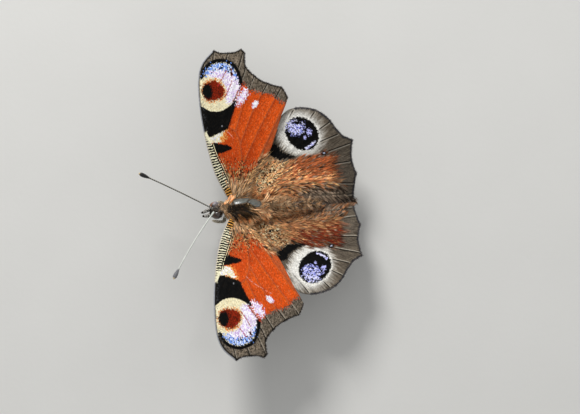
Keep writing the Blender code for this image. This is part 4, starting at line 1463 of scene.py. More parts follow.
    def fringe(self, shell: Shell, margin: Array) -> None:
        """Short flat hairs that stand out from the outer margin, pale between the veins.

        Args:
            shell: the wing's shell.
            margin: the outer margin's rows.
        """
        random = np.random.default_rng(self.fringe_seed)
        line = smooth_line(margin, self.fringe_pitch)
        ends = np.array([vein[-1] for vein in self.vein_lines()])
        for row in range(2):
            spots = line[row::2] + random.normal(0.0, 0.02, line[row::2].shape)
            ahead = unit(np.gradient(line, axis=0))[row::2]
            outwards = np.column_stack([ahead[:, 1], -ahead[:, 0]])
            centre = np.add(self.root, self.fringe_centre)
            outwards *= np.sign(np.sum(outwards * (spots - centre), axis=1))[:, None]
            outwards = unit(outwards + random.normal(0.0, 0.12, outwards.shape))
            lift = 0.02 - 0.03 * row
            roots, normal = self.place(spots - 0.14 * outwards, lift)
            beyond, _ = self.place(spots + 0.2 * outwards, lift)
            count = len(spots)
            length = self.fringe_length * random.uniform(0.7, 1.15, count)
            _, run = nearest_on(spots, margin)
            away = np.min(np.linalg.norm(spots[:, None] - ends[None], axis=2), axis=1)
            pale = ease(away, 0.25, 0.6)
            weights = np.column_stack([1.25 - pale, 0.2 + 0.3 * pale, 0.9 * pale])
            colour = shades(random, [(0.03, 0.028, 0.03), (0.14, 0.13, 0.13), (0.46, 0.44, 0.42)], weights)
            tufts = Tufts(
                roots, normal, beyond - roots, length, random.uniform(0.06, 0.10, count), colour,
                np.column_stack([0.01 + 0.97 * run / run.max(), np.full(count, 0.975)]), self.tuft_seed + row,
                rise=0.02, rest=-0.02, curl=0.08, clump=1, levels=(0.0, 0.55), sunk=0.0,
            )
            start = len(shell.finishes)
            tufts.fill(shell)
            shell.finishes[start][:] = 2


@dataclass
class Forewing(Wing):
    """The forewing, on whose sloped leading edge the rest of the wing is hung."""

    kind: ClassVar[str] = "forewing"
    slot: ClassVar[str] = "rust_scales"
    grain_turn: ClassVar[float] = 12.0
    root: ClassVar[Place] = (2.6, 1.5)
    sweep: ClassVar[dict[Side, float]] = {Side.LEFT: -0.6, Side.RIGHT: 0.6}
    marks: ClassVar[list[Mark]] = FOREWING_MARKS
    costa: ClassVar[list[Place]] = [(1.2, 0.7), (3.2, -0.35), (6.6, -1.75), (10.2, -2.65), (15.5, -3.45),
        (21.0, -3.85), (25.6, -3.65), (28.6, -2.65), (31.1, -0.25)]
    margin: ClassVar[list[tuple[Place, float]]] = [((31.1, -0.25), 0.25), ((30.4, 2.9), 0.20),
        ((31.05, 5.35), 0.05), ((30.2, 6.0), 0.12), ((27.4, 5.95), 0.08), ((25.2, 7.9), 0.10),
        ((23.9, 10.0), 0.10), ((23.0, 12.7), -0.12), ((20.7, 13.85), 0.0)]
    dorsum: ClassVar[list[Place]] = [(20.7, 13.85), (18.8, 13.0), (17.0, 12.1), (13.2, 10.6), (9.8, 8.9),
        (6.6, 6.2), (4.2, 4.6), (1.2, 3.3)]
    veins: ClassVar[dict[str, list[Place]]] = {
        "subcosta": [(1.5, 1.0), (6.0, -0.7), (10.5, -2.0), (15.5, -3.3)],
        "radius": [(1.6, 1.5), (8.0, 0.1), (15.0, -0.9), (20.0, -2.4), (24.5, -3.4)],
        "r1": [(13.0, -0.7), (17.0, -2.6), (20.0, -3.6)],
        "r3": [(15.0, -0.9), (22.5, -1.9), (28.3, -2.4)],
        "r4": [(19.5, -1.4), (26.0, -0.9), (30.7, -0.2)],
        "r5": [(18.0, -1.1), (25.0, 0.9), (30.3, 2.6)],
        "m1": [(15.6, 0.2), (23.0, 2.9), (30.3, 5.6)],
        "m2": [(15.9, 1.4), (22.0, 3.9), (27.3, 5.9)],
        "m3": [(14.9, 2.9), (20.5, 5.0), (25.5, 7.5)],
        "cross": [(15.0, -0.9), (15.6, 0.2), (15.9, 1.4), (14.9, 2.9)],
        "cubitus": [(1.6, 2.0), (8.0, 3.5), (12.5, 3.6), (14.9, 2.9)],
        "cu1": [(12.2, 3.6), (18.5, 6.6), (23.8, 10.0)],
        "cu2": [(7.8, 3.5), (15.5, 7.9), (22.6, 12.5)],
        "anal": [(1.6, 2.5), (8.5, 6.6), (15.0, 10.4), (19.9, 13.4)],
    }
    pale_line: ClassVar[list[Place]] = [(1.0, 3.0), (3.85, 1.62), (6.5, 0.5), (8.5, -0.2), (11.0, -1.2),
        (13.5, -1.85), (15.0, -2.5)]
    root_height: ClassVar[float] = 9.0
    root_slope: ClassVar[float] = 0.30
    tip_slope: ClassVar[float] = 0.08
    tip_out: ClassVar[float] = 31.2
    backward_fall: ClassVar[float] = 0.05

    @classmethod
    def arch(cls, plan: Array) -> Array:
        """The height that both wings of a side share."""
        run = plan[:, 0] - cls.root[0]
        easing = (cls.root_slope - cls.tip_slope) / (cls.tip_out - cls.root[0])
        height = cls.root_height + cls.root_slope * run - 0.5 * easing * run**2
        return height - cls.backward_fall * plan[:, 1]

    def height(self, plan: Array) -> Array:
        """Height of the middle of the wing's thickness."""
        return self.arch(plan)

    def extras(self, plan: Array, lead: Array) -> dict[str, Array]:
        """Where the stripes end, and how far in front of their inner line and of the last vein."""
        anal = smooth_line(np.array(self.veins["anal"]), 0.5)
        return {
            "striped": ease(lead, 14.9, 14.3),
            "inner": -beside(plan, [smooth_line(np.array(self.pale_line), 0.4)]),
            "trailing": np.interp(plan[:, 0], anal[:, 0], anal[:, 1]) - plan[:, 1],
        }


@dataclass
class Hindwing(Wing):
    """The hindwing, which lies under the forewing and folds down along the body."""

    kind: ClassVar[str] = "hindwing"
    slot: ClassVar[str] = "brown_scales"
    grain_turn: ClassVar[float] = -65.0
    root: ClassVar[Place] = (2.6, 4.9)
    sweep: ClassVar[dict[Side, float]] = {Side.LEFT: -0.8, Side.RIGHT: 1.2}
    flow_root: ClassVar[Place] = (1.0, 3.0)
    fringe_seed: ClassVar[int] = 12
    marks: ClassVar[list[Mark]] = HINDWING_MARKS
    costa: ClassVar[list[Place]] = [(1.0, 3.9), (4.0, 4.7), (8.0, 6.6), (12.0, 8.7), (15.9, 11.0),
        (18.2, 13.3), (18.85, 15.3)]
    margin: ClassVar[list[tuple[Place, float]]] = [((18.85, 15.3), -0.22), ((18.1, 19.4), -0.15),
        ((15.9, 22.0), 0.08), ((13.2, 23.8), 0.15), ((12.3, 25.0), 0.05), ((11.7, 26.2), 0.08),
        ((9.9, 25.8), 0.12), ((7.5, 25.7), 0.10), ((5.1, 26.4), 0.10), ((2.7, 25.7), 0.06), ((0.7, 25.35),
        0.0)]
    dorsum: ClassVar[list[Place]] = [(0.7, 25.35), (0.5, 22.5), (0.45, 18.0), (0.45, 12.0), (0.6, 8.0),
        (1.0, 6.3)]
    veins: ClassVar[dict[str, list[Place]]] = {
        "sc": [(1.5, 4.6), (6.0, 6.3), (12.0, 10.4), (18.3, 14.8)],
        "rs": [(5.0, 6.3), (9.0, 10.0), (13.5, 15.2), (17.6, 19.0)],
        "m1": [(8.6, 10.2), (12.4, 16.5), (15.4, 21.7)],
        "m2": [(8.2, 11.8), (11.2, 18.0), (13.0, 23.2)],
        "m3": [(6.6, 12.2), (9.2, 19.0), (11.1, 25.6)],
        "cell": [(9.0, 10.0), (8.6, 10.2), (8.2, 11.8), (6.6, 12.2)],
        "cubitus": [(1.7, 5.3), (4.2, 8.3), (5.8, 11.0), (6.6, 12.2)],
        "cu1": [(5.8, 11.0), (7.0, 18.0), (7.6, 25.2)],
        "cu2": [(4.2, 8.3), (4.1, 17.0), (3.4, 25.4)],
        "anal": [(2.6, 6.6), (1.9, 14.0), (1.4, 24.9)],
    }
    below: ClassVar[float] = 1.08
    # Painted light and shade by side: how much lighter the right hindwing's inner half is painted, and darker
    # the left's.
    wear: ClassVar[float] = 0.22
    gutter_depth: ClassVar[float] = 0.9
    gutter_width: ClassVar[float] = 5.0

    def height(self, plan: Array) -> Array:
        """Height of the middle of the wing's thickness, below the forewing's, with a gutter by the body."""
        gutter = self.gutter_depth * ease(plan[:, 0], self.gutter_width, 0.0)
        return Forewing.arch(plan) - self.below - gutter

    def extras(self, plan: Array, lead: Array) -> dict[str, Array]:
        """How far outward of the eyespot's middle, where the veins show as lines, and the painted light of
        each side.
        """
        direction = np.array([0.72, 0.69])
        return {
            "outward": (plan - HINDWING_RING.centre) @ direction,
            "ribbed": ease((plan - [10.0, 17.5]) @ direction, -1.4, 0.6) + ease(plan[:, 1], 21.5, 23.0),
            "bright": self.brightness(plan),
        }

    def brightness(self, plan: Array) -> Array:
        """How the wing's colour is scaled, with painted light and shade by side: the right's inner half
        lighter than the left's and its border darker; the border darker on both sides.
        """
        share = ease(HINDWING_RING.depth(plan), 0.0, 1.2) * ease(plan[:, 0], 11.0, 8.5)
        border = ease(plan[:, 1], 19.5, 22.0) * ease(HINDWING_RING.depth(plan), 0.0, 1.2)
        return 1 - self.side.value * (self.wear * share * (1 - border) - 0.085 * border) - 0.235 * border


# Body


@dataclass
class Head:
    """How the head and all that it carries is turned about the neck."""

    turn: float = 13.0
    shift: float = -0.33
    neck: float = -1.0

    def carry(self, points: Array, share: Array | float = 1.0) -> Array:
        """Turns points with the head.

        Args:
            points: rows of (x, back, height).
            share: how far each follows the head, from 0 to 1.

        Returns:
            The turned rows.
        """
        angle = math.radians(self.turn) * np.asarray(share)
        c, s = np.cos(angle), np.sin(angle)
        x, y = points[..., 0], points[..., 1] - self.neck
        return np.stack(
            [c * x - s * y + self.shift * share, s * x + c * y + self.neck, points[..., 2] + 0 * c], axis=-1
        )


HEAD = Head()

BALD_FRONT = Blob(((-0.45, 0.8), (-0.95, 0.5), (-1.5, 0.8), (-1.75, 1.6), (-1.85, 2.6), (-1.85, 3.6),
    (-1.8, 4.75), (-1.35, 4.5), (-0.9, 4.15), (-0.65, 3.5), (-0.58, 2.4), (-0.48, 1.5)))
BALD_REAR = Blob(((-0.75, 4.1), (-1.3, 4.5), (-1.75, 5.0), (-1.65, 5.8), (-1.3, 6.5), (-0.9, 6.9),
    (-0.4, 6.95), (0.1, 6.5), (0.3, 5.95), (0.12, 5.4), (-0.35, 4.9)))


@dataclass(frozen=True)
class Coat:
    """One layer of the body's fur: where it grows, how much of it there is and how it lies."""

    name: str
    start: float
    end: float
    count: int
    shortest: float
    longest: float
    width: float
    rise: float
    seed: int
    splay: float = 0.6
    lowest: float = -1.0
    highest: float = 1.0
    level: float = 0.0
    clump: int = 20
    curl: float = 0.22
    scatter: float = 0.16
    slot: str = "body_fur"


COATS = (
    Coat("head_fur", -3.55, -0.9, 8000, 0.28, 0.55, 0.050, 0.75, 21, 0.2, slot="dark_fur", clump=6),
    Coat("collar_fur", -1.6, 0.8, 10000, 0.80, 1.40, 0.055, 0.75, 24, 1.1, lowest=-0.6, clump=10),
    Coat("thorax_fur", -0.7, 7.9, 18000, 0.80, 1.40, 0.070, 0.45, 22, 0.8, clump=10),
    Coat("thorax_mane", -0.2, 7.4, 16000, 1.50, 2.70, 0.065, 0.26, 25, 1.5, 0.50, 0.95, 0.9, clump=11),
    Coat("abdomen_fur", 7.3, 18.2, 18000, 0.80, 1.30, 0.070, 0.35, 23, 0.8, clump=10, scatter=0.07),
    Coat("abdomen_mane", 6.6, 17.9, 13000, 1.40, 2.40, 0.065, 0.16, 26, 1.1, 0.05, 1.0, 0.5, 6, 0.08, 0.07),
)


@dataclass
class Body:
    """Head, thorax and abdomen in one skin, with the fur that covers it."""

    skin: bpy.types.Material
    fur: bpy.types.Material
    sides: int = 72
    step: float = 0.11
    sections: ClassVar[list[tuple[float, float, float, float]]] = [(-3.62, 0.12, 0.15, 7.12),
        (-3.4, 0.50, 0.60, 7.22), (-2.95, 0.82, 0.98, 7.33), (-2.4, 0.98, 1.18, 7.42),
        (-1.8, 0.95, 1.10, 7.48), (-1.25, 0.74, 0.84, 7.50), (-0.85, 0.80, 0.90, 7.50),
        (-0.4, 1.35, 1.45, 7.52), (0.8, 2.05, 2.12, 7.58), (2.4, 2.33, 2.42, 7.63), (4.2, 2.20, 2.30, 7.58),
        (5.8, 1.76, 1.90, 7.48), (6.9, 1.30, 1.40, 7.35), (7.6, 1.28, 1.32, 7.28), (9.0, 1.66, 1.68, 7.14),
        (10.5, 1.78, 1.80, 7.02), (12.0, 1.76, 1.78, 6.90), (14.5, 1.44, 1.50, 6.65),
        (16.6, 0.92, 1.02, 6.45), (17.9, 0.44, 0.54, 6.34), (18.3, 0.12, 0.15, 6.30)]
    stations: int = 400
    skin_seed: int = 3
    first_groove: float = 8.2
    segment: float = 1.42

    def __post_init__(self) -> None:
        """Works out the sections along the body."""
        self.profile = smooth_line(np.array(self.sections), self.step)

    def relief(self, x: Array, back: Array) -> Array:
        """How far the skin is sunk at a place, for the seams of the plates and the segments."""
        off = np.abs(x + 0.9)
        seam = bell(back - 4.3 - 0.75 * off, 0.0, 0.10) * ease(off, 1.9, 1.6)
        middle = 0.07 * bell(x, 0.25, 0.10) * ease(back, 0.6, 1.4) * ease(back, 7.0, 6.0)
        place = (back - self.first_groove) / self.segment
        step = np.where((place > -0.6) & (place < 6.6), (place - np.round(place) + 0.5) % 1.0, 0.5)
        rings = 0.09 * np.exp(-((np.minimum(step, 1 - step)) / 0.10) ** 2)
        return 0.12 * seam + middle + rings

    def at(self, back: Array, angle: Array) -> Array:
        """Places on the skin before the head is turned.

        Args:
            back: distances back.
            angle: angles about the body's axis, from its left side up over the back.

        Returns:
            Rows of (x, back, height).
        """
        run, *columns = self.profile.T
        half_width, half_height, centre = (np.interp(back, run, column) for column in columns)
        x = half_width * np.cos(angle)
        sunk = np.where(np.sin(angle) > -0.3, self.relief(x, back), 0.0)
        share = 1 - np.minimum(sunk / np.maximum(half_width, 0.4), 0.3)
        return np.stack([x * share, back, centre + half_height * np.sin(angle) * share], axis=-1)

    def place(self, back: Array, angle: Array) -> tuple[Array, Array]:
        """Places on the skin in the frame, and which way it faces.

        Args:
            back: distances back.
            angle: angles about the body's axis.

        Returns:
            The points in millimetres, and the normals.
        """
        def carried(b: Array, a: Array) -> Array:
            return HEAD.carry(self.at(b, a), ease(b, -0.2, -1.5))

        point = carried(back, angle)
        along = carried(back + 0.02, angle) - carried(back - 0.02, angle)
        around = carried(back, angle + 0.02) - carried(back, angle - 0.02)
        return point + ORIGIN, unit(np.cross(around, along))

    def bald(self, x: Array, back: Array, angle: Array) -> Array:
        """Signed depth of the worn, shiny plates on the back, negative on them."""
        plan = np.column_stack([x, back])
        depth = np.minimum(BALD_FRONT.depth(plan), BALD_REAR.depth(plan))
        return np.where(np.sin(angle) > 0, depth, 3.0)

    def coat(self, random: np.random.Generator, x: Array, back: Array, angle: Array) -> Array:
        """The fur's colour at places on the body.

        Args:
            random: the source of chance.
            x: distances to the animal's left.
            back: distances back.
            angle: angles about the body's axis.

        Returns:
            A row of colour for each place.
        """
        up = np.sin(angle)
        belly = ease(up, 0.1, -0.5)
        dark = bell(x, 0.4, 0.95, 4) * ease(back, -0.3, 0.7) * ease(back, 5.2, 3.4) * (up > 0)
        crest = bell(x, 0.0, 0.6) * ease(back, 11.6, 13.0) * ease(back, 17.8, 16.8) * (up > 0)
        head = ease(back, -0.9, -1.5)
        cheek = bell(back, -1.1, 0.45) * ease(np.abs(x), 0.35, 0.7)
        abdomen = ease(back, 7.2, 9.5)
        rear = ease(back, 10.5, 14.0)
        # Painted shade: fur on the animal's left side is drawn darker, with fewer pale hairs and more red and
        # dark ones.
        left = ease(x, 0.6, 1.6)
        body = (1 - head) * (1 - 0.92 * dark) * (1 - 0.7 * belly) * (1 - 0.75 * crest)
        shoulder = np.exp(-(((x + 1.7) / 0.8) ** 2) - ((back - 0.1) / 0.9) ** 2) * (up > -0.2)
        weights = np.column_stack(
            [
                body * (1.25 - 0.4 * left + 0.9 * abdomen - 0.2 * rear) + 2.2 * shoulder,
                body * (0.85 + 0.3 * abdomen) + 0.15 * head + 0.6 * shoulder,
                body * (0.30 + 0.35 * left + 0.30 * abdomen) + 0.35 * dark,
                body * (0.30 + 0.25 * left + 0.45 * rear) + 3.0 * dark + 0.9 * head + 1.5 * crest,
                2.6 * dark,
                0.9 * belly + 0.45 * head + 0.3 * rear,
                0.6 * head + 2.2 * cheek + 0.25 * rear + 0.4 * crest,
            ]
        )
        choices = [FOX_PALE, FOX, FOX_RED, FOX_DARK, (0.13, 0.066, 0.012), GREY_BROWN, ASH]
        return shades(random, choices, weights) * (1.55 - 0.4 * abdomen - 0.1 * rear - 1.35 * dark)[:, None]

    def build_skin(self) -> bpy.types.Object:
        """Makes the skin.

        Returns:
            The piece, which stands for the head, thorax and abdomen.
        """
        back = self.profile[:, 0]
        angles = np.arange(self.sides + 1) * 2 * math.pi / self.sides
        b, a = np.meshgrid(back, angles[:-1], indexing="ij")
        points, _ = self.place(b.ravel(), a.ravel())
        shape = self.at(b.ravel(), a.ravel())
        rings = points.reshape(len(back), self.sides, 3)
        points, triangles = lofted(rings)
        random = np.random.default_rng(self.skin_seed)
        colour = self.coat(random, shape[:, 0], shape[:, 1], a.ravel())
        colour = colour.reshape(len(back), self.sides, 3)
        for axis in (0, 1):
            colour = (np.roll(colour, 1, axis) + 2 * colour + np.roll(colour, -1, axis)) / 4
        ends = np.vstack([colour[0, :1], colour[-1, :1]])
        colour = np.vstack([colour.reshape(-1, 3), ends])
        coat = np.column_stack([colour, np.ones(len(colour))])
        bald = np.concatenate([self.bald(shape[:, 0], shape[:, 1], a.ravel()), [3.0, 3.0]])
        u = np.concatenate([np.tile(np.arange(self.sides) / self.sides, len(back)), [0.5, 0.5]])
        v = np.concatenate([np.repeat(self.chart_rows(back), self.sides), [0.0, 1.0]])
        corners = np.column_stack([u, v])[triangles.ravel()].reshape(-1, 3, 2)
        wrap = (corners[..., 0].max(axis=1) - corners[..., 0].min(axis=1)) > 0.5
        corners[..., 0] += (wrap[:, None]) & (corners[..., 0] < 0.25)
        shell = Shell()
        shell.add(points, triangles, corners=0.98 * corners.reshape(-1, 2) + 0.01, coat=coat, bald=bald)
        return dress(shell.make("body_skin", [self.skin]), "body_fur", "head", "thorax", "abdomen")

    def chart_rows(self, back: Array) -> Array:
        """The map's second coordinate along the body."""
        return (back - self.sections[0][0]) / (self.sections[-1][0] - self.sections[0][0])

    @staticmethod
    def combed(coat: Coat, x: Array, back: Array, angle: Array, cheek: Array) -> Array:
        """Which way the fur lies: parted on the back, swept in a whorl behind the waist, out at the cheeks.

        Args:
            coat: the layer.
            x: distances to the animal's left.
            back: distances back.
            angle: angles about the body's axis.
            cheek: how far each place is on a cheek.

        Returns:
            A direction for each place, in no unit.
        """
        side = np.sign(x)
        share = np.abs(np.cos(angle)) ** 0.7
        whorl = ease(back, 6.4, 7.6) * (0.6 * ease(back, 10.6, 8.6) - 1.1 * ease(back, 10.4, 12.6))
        outwards = side * coat.splay * share * (0.40 + 0.7 * ease(back, 5.5, 0.5) + whorl)
        ahead = np.where(back < -1.6, -0.6, ease(back, -1.5, -0.4) * 0.9 + 0.1)
        lie = np.column_stack([outwards, ahead, np.full(len(x), -0.25)])
        lie[:, 0] += 1.3 * side * cheek
        return lie

    def grow(self, coat: Coat) -> bpy.types.Object:
        """Makes one layer of the fur.

        Args:
            coat: the layer.

        Returns:
            The piece.
        """
        random = np.random.default_rng(coat.seed)
        rows = np.linspace(coat.start, coat.end, self.stations)
        girth = np.interp(rows, self.profile[:, 0], self.profile[:, 1])
        back = np.interp(random.random(coat.count), np.cumsum(girth) / girth.sum(), rows)
        if coat.lowest <= -1.0:
            angle = random.random(coat.count) * 2 * math.pi
        else:
            angle = random.uniform(math.asin(coat.lowest), math.asin(coat.highest), coat.count)
            angle = np.where(random.random(coat.count) < 0.5, angle, math.pi - angle)
        shape = self.at(back, angle)
        clear = self.bald(shape[:, 0], back, angle)
        kept = clear > random.normal(0.10 + 0.12 * coat.level, 0.05, coat.count)
        back, angle, shape = back[kept], angle[kept], shape[kept]
        points, normals = self.place(back, angle)
        count, x, up = len(back), shape[:, 0], np.sin(angle)
        cheek = bell(back, -1.2, 0.45) * ease(np.abs(x), 0.3, 0.6)
        lie = self.combed(coat, x, back, angle, cheek)
        lie += random.normal(0.0, coat.scatter, lie.shape)
        slope = unit(np.column_stack([-0.28 * np.sign(x), np.full(count, 0.05), np.ones(count)]))
        normals = unit((1 - coat.level) * normals + coat.level * slope)
        length = random.uniform(coat.shortest, coat.longest, count) * (1 - 0.35 * (up < -0.2))
        length *= 1 + 0.9 * cheek
        colour = self.coat(random, x, back, angle)
        chart = np.column_stack([(angle / (2 * math.pi)) % 1.0, self.chart_rows(back)])
        width = coat.width * random.uniform(0.75, 1.25, count)
        tufts = Tufts(
            points, normals, lie, length, width, colour, inset(chart), coat.seed, rise=coat.rise,
            rest=0.12 - 0.16 * coat.level, clump=coat.clump, gather=0.8, curl=coat.curl,
        )
        return tufts.piece(coat.name, coat.slot, self.fur)


@dataclass
class WingHair:
    """Long hair that lies over the root and inner half of each hindwing, and the root of each forewing."""

    hair: bpy.types.Material
    hind_count: int = 15000
    trim_count: int = 1500
    fore_count: int = 20000
    hind_seed: int = 31
    fore_seed: int = 33
    bare_spot: Place = (9.35, 20.15)

    def over_hindwing(self, wing: Hindwing) -> bpy.types.Object:
        """Lays the hair over one hindwing.

        Args:
            wing: the wing.

        Returns:
            The piece.
        """
        random = np.random.default_rng(self.hind_seed)
        tried = self.hind_count * 3
        plan = np.column_stack([random.uniform(0.55, 9.2, tried), random.uniform(4.6, 25.0, tried)])
        lead = smooth_line(np.array(wing.costa), 0.5)
        behind = plan[:, 1] - np.interp(plan[:, 0], lead[:, 0], lead[:, 1])
        depths = {m.name: partial(m.depth, side=wing.side) for m in wing.marks}
        masks = {key: np.clip(0.5 - depths[key](plan) / 1.6, 0, 1) for key in ("tan", "rust", "speckle")}
        inner = ease(plan[:, 0], 4.6, 2.6)
        flow = unit(plan - [1.2, 0.5]) + random.normal(0.0, 0.06, plan.shape)
        flow[:, 0] += inner * (0.45 * ease(plan[:, 1], 6.0, 8.0) - 1.35 * ease(plan[:, 1], 9.5, 13.0))
        crescent = np.minimum(*(depths["crescent"](plan + step * flow) for step in (0.0, 1.1)))
        wanted = np.maximum.reduce([masks["tan"], masks["rust"], 0.9 * inner])
        tips = depths["speckle"](plan + unit(plan - [1.2, 0.5]))
        speckled = np.maximum(masks["speckle"], 0.9 * np.clip(0.5 - tips / 1.2, 0, 1))
        wanted = np.maximum(wanted * (1 - 0.9 * speckled), 0.10 * speckled)
        wanted *= (behind > 0.4) * ease(HINDWING_RING.depth(plan), -0.4, 0.5) * ease(crescent, 0.0, 0.5)
        from_spot = plan - self.bare_spot
        passing = np.min([np.hypot(*(from_spot + step * flow).T) for step in (0.3, 0.9, 1.5)], axis=0)
        wanted *= ease(plan[:, 1] - 2.0 * inner, 22.2, 19.6)
        kept = random.random(tried) < wanted * (passing > 0.65)
        trim = random.uniform((0.5, 10.0), (1.0, 25.3), (self.trim_count, 2))
        trim_flow = random.normal((-0.75, 0.65), 0.15, trim.shape)
        trimmed = np.concatenate([np.zeros(min(int(kept.sum()), self.hind_count)), np.ones(len(trim))])
        plan, flow, inner = (
            np.concatenate([v[kept][: self.hind_count], w])
            for v, w in ((plan, trim), (flow, trim_flow), (inner, np.ones(len(trim))))
        )
        masks = {k: np.append(v[kept][: self.hind_count], np.zeros(len(trim))) for k, v in masks.items()}
        count = len(plan)
        roots, normal = wing.on_top(plan)
        ahead, _ = wing.on_top(plan + 1.2 * flow)
        fine = ease(plan[:, 1], 6.0, 12.0)
        length = random.uniform(1.2, 2.2, count) * (0.6 + 0.4 * fine)
        length *= 1 - 0.4 * trimmed * ease(plan[:, 1], 22.5, 20.5)
        colour = self.hind_colours(random, wing, plan, masks, inner)
        # Painted shade: the right hindwing's inner trim is near-black, standing for the shadowed gap between
        # the hindwings.
        edge = [(0.02, 0.015, 0.012), FOX_DARK] if wing.side is Side.RIGHT else [TAN, GREY_BROWN]
        trim_colour = shades(random, edge, np.tile([1.0, 0.6], (count, 1)))
        colour = np.where(trimmed[:, None] > 0, trim_colour, colour)
        width = random.uniform(0.04, 0.065, count)
        tufts = Tufts(
            roots, normal, ahead - roots, length, width, colour, wing.chart(plan), self.hind_seed + 1,
            rise=0.28, rest=0.045, curl=0.06, gather=0.75,
        )
        return tufts.piece(f"hindwing_hair_{wing.side.word}", "brown_scales", self.hair)

    @staticmethod
    def hind_colours(
        random: np.random.Generator, wing: Hindwing, plan: Array, masks: dict[str, Array], inner: Array
    ) -> Array:
        """The colour of each hair over a hindwing, with painted light: the right one's rust and gold lighter
        than the left one's.

        Args:
            random: the source of chance.
            wing: the wing.
            plan: the hairs' roots.
            masks: how far each is in a marking, by the marking's name.
            inner: how near each is to the body.

        Returns:
            A row of colour for each hair.
        """
        right_side = wing.side is Side.RIGHT
        grey = inner * ease(plan[:, 1], 12.0, 16.0) * (1.0 if right_side else 0.35)
        warm = 1 - grey
        weights = np.column_stack(
            [
                warm * (1.2 * masks["tan"] + 0.5 * inner),
                1.5 * masks["rust"] * (1 - inner),
                warm * 0.7 * masks["tan"] + 0.2 * masks["speckle"],
                0.7 * grey + 0.05,
                0.20 + 0.15 * inner + 0.6 * grey,
                0.3 * masks["rust"] + 0.25 * warm,
                1.3 * grey + 0.10 * warm,
            ]
        )
        # Painted light: rust and gold hairs are lighter on the right hindwing than on the left, and all are
        # scaled by the side's painted light.
        rust = (0.48, 0.132, 0.040) if right_side else (0.31, 0.036, 0.008)
        gold = (0.98, 0.62, 0.28) if right_side else (0.84, 0.47, 0.20)
        warm_tan, brown, straw = (0.70, 0.31, 0.13), (0.40, 0.15, 0.055), (0.50, 0.37, 0.26)
        choices = [warm_tan, rust, gold, GREY_BROWN, FOX_DARK, brown, straw]
        return shades(random, choices, weights) * (wing.brightness(plan) * (1 - 0.1 * inner))[:, None]

    def over_forewing(self, wing: Forewing) -> bpy.types.Object:
        """Lays the hair over the root of one forewing.

        Args:
            wing: the wing.

        Returns:
            The piece.
        """
        random = np.random.default_rng(self.fore_seed)
        tried = self.fore_count
        plan = np.column_stack([random.uniform(1.4, 11.0, tried), random.uniform(-0.4, 9.6, tried)])
        edges = wing.edges(0.5)
        lead, _ = nearest_on(plan, edges[0])
        reach = np.linalg.norm((plan - [1.6, 2.4]) * [1.0, 0.8], axis=1)
        trailing, _ = nearest_on(plan, edges[2])
        wanted = np.maximum(ease(reach, 4.0, 2.4), 0.12 * ease(reach, 8.0, 3.0))
        wanted = np.maximum(wanted, ease(trailing, 1.7, 0.5) * ease(reach, 10.5, 6.0))
        kept = inside(plan, wing.outline(0.5)) & (lead > 1.1) & (random.random(tried) < wanted)
        plan, reach, trailing, count = plan[kept], reach[kept], trailing[kept], int(kept.sum())
        flow = unit(plan - [0.4, 0.9]) + random.normal(0.0, 0.10, plan.shape)
        flow[:, 1] += 0.7 * ease(trailing, 1.2, 0.2)
        roots, normal = wing.on_top(plan)
        ahead, _ = wing.on_top(plan + 0.5 * flow)
        near = ease(reach, 4.5, 1.5)
        edge = ease(trailing, 1.5, 0.4)
        weights = np.column_stack(
            [
                0.9 * near + 0.6 * edge, 0.8 + 0 * near, 0.45 - 0.1 * near, 0.6 * edge + 0.25 * (1 - near),
                0.20 * near, 0.7 * (1 - near) * (1 - edge),
            ]
        )
        colour = shades(random, [FOX_PALE, FOX, FOX_DARK, GOLD, GREY_BROWN, (0.46, 0.11, 0.03)], weights)
        # Painted light: the left forewing's hair is drawn a quarter lighter than the right's.
        colour *= 1.25 if wing.side is Side.LEFT else 1.0
        length = random.uniform(0.9, 1.5, count) + 0.5 * near
        width = random.uniform(0.05, 0.075, count)
        tufts = Tufts(
            roots, normal, ahead - roots, length, width, colour, wing.chart(plan), self.fore_seed + 1,
            rise=0.16, rest=0.03, curl=0.08, gather=0.75,
        )
        return tufts.piece(f"forewing_hair_{wing.side.word}", "rust_scales", self.hair)


# Finishes of the body's horny parts

FEELER_SEGMENT = 0.42


@dataclass(frozen=True)
class SkinFinish(Finish):
    """The skin under the fur: it has the fur's colours, and shines where the fur is worn off."""

    bump: ClassVar[float] = 0.008

    def paint(self, g: Graph) -> Paint:
        """The colour, roughness and relief of the skin."""
        place = g.within()
        under = g.vector("SCALE", g.attribute("coat", "Color"), 0.45)
        bald = g.ramp(g.attribute("bald"), 0.06, -0.06)
        edge = g.ramp(g.attribute("bald"), -0.28, 0.0)
        plate = g.blend(g.ramp(g.noise(place, 700.0, 3.0), 0.4, 0.65), SLATE, (0.16, 0.17, 0.155))
        plate = g.lay(plate, INK, edge, 0.8)
        grain = g.use(fine_grain(), Place=place, Colour=g.blend(bald, under, plate), Fineness=9000.0)
        rough = g.fitted(bald, -0.62, 0.85)
        return grain.outputs["Shade"], rough, grain.outputs["Dimple"]


@dataclass(frozen=True)
class EyeFinish(Finish):
    """A compound eye: fine facets, dark brown, with painted reflections: a warm band and a grey-lilac sheen
    where the mesh asks for them.
    """

    bump: ClassVar[float] = -0.012
    specular: ClassVar[float] = 0.6
    gloss: ClassVar[float] = 0.3

    def paint(self, g: Graph) -> Paint:
        """The colour, roughness and relief of the eye."""
        place = g.within()
        cloud = g.ramp(g.noise(place, 1100.0), 0.4, 0.65)
        dark = g.blend(cloud, (0.012, 0.007, 0.004), (0.05, 0.024, 0.012))
        # Painted reflection: a grey-lilac sheen.
        colour = g.blend(g.attribute("glaze"), dark, g.blend(cloud, (0.16, 0.15, 0.16), (0.32, 0.30, 0.34)))
        # Painted reflection: the warm band.
        colour = g.blend(g.attribute("band"), colour, (0.50, 0.17, 0.05))
        facets = g.cells(place, 17000.0, 0.3)
        return colour, g.fitted(cloud, 0.12, 0.20), facets.outputs["Distance"]


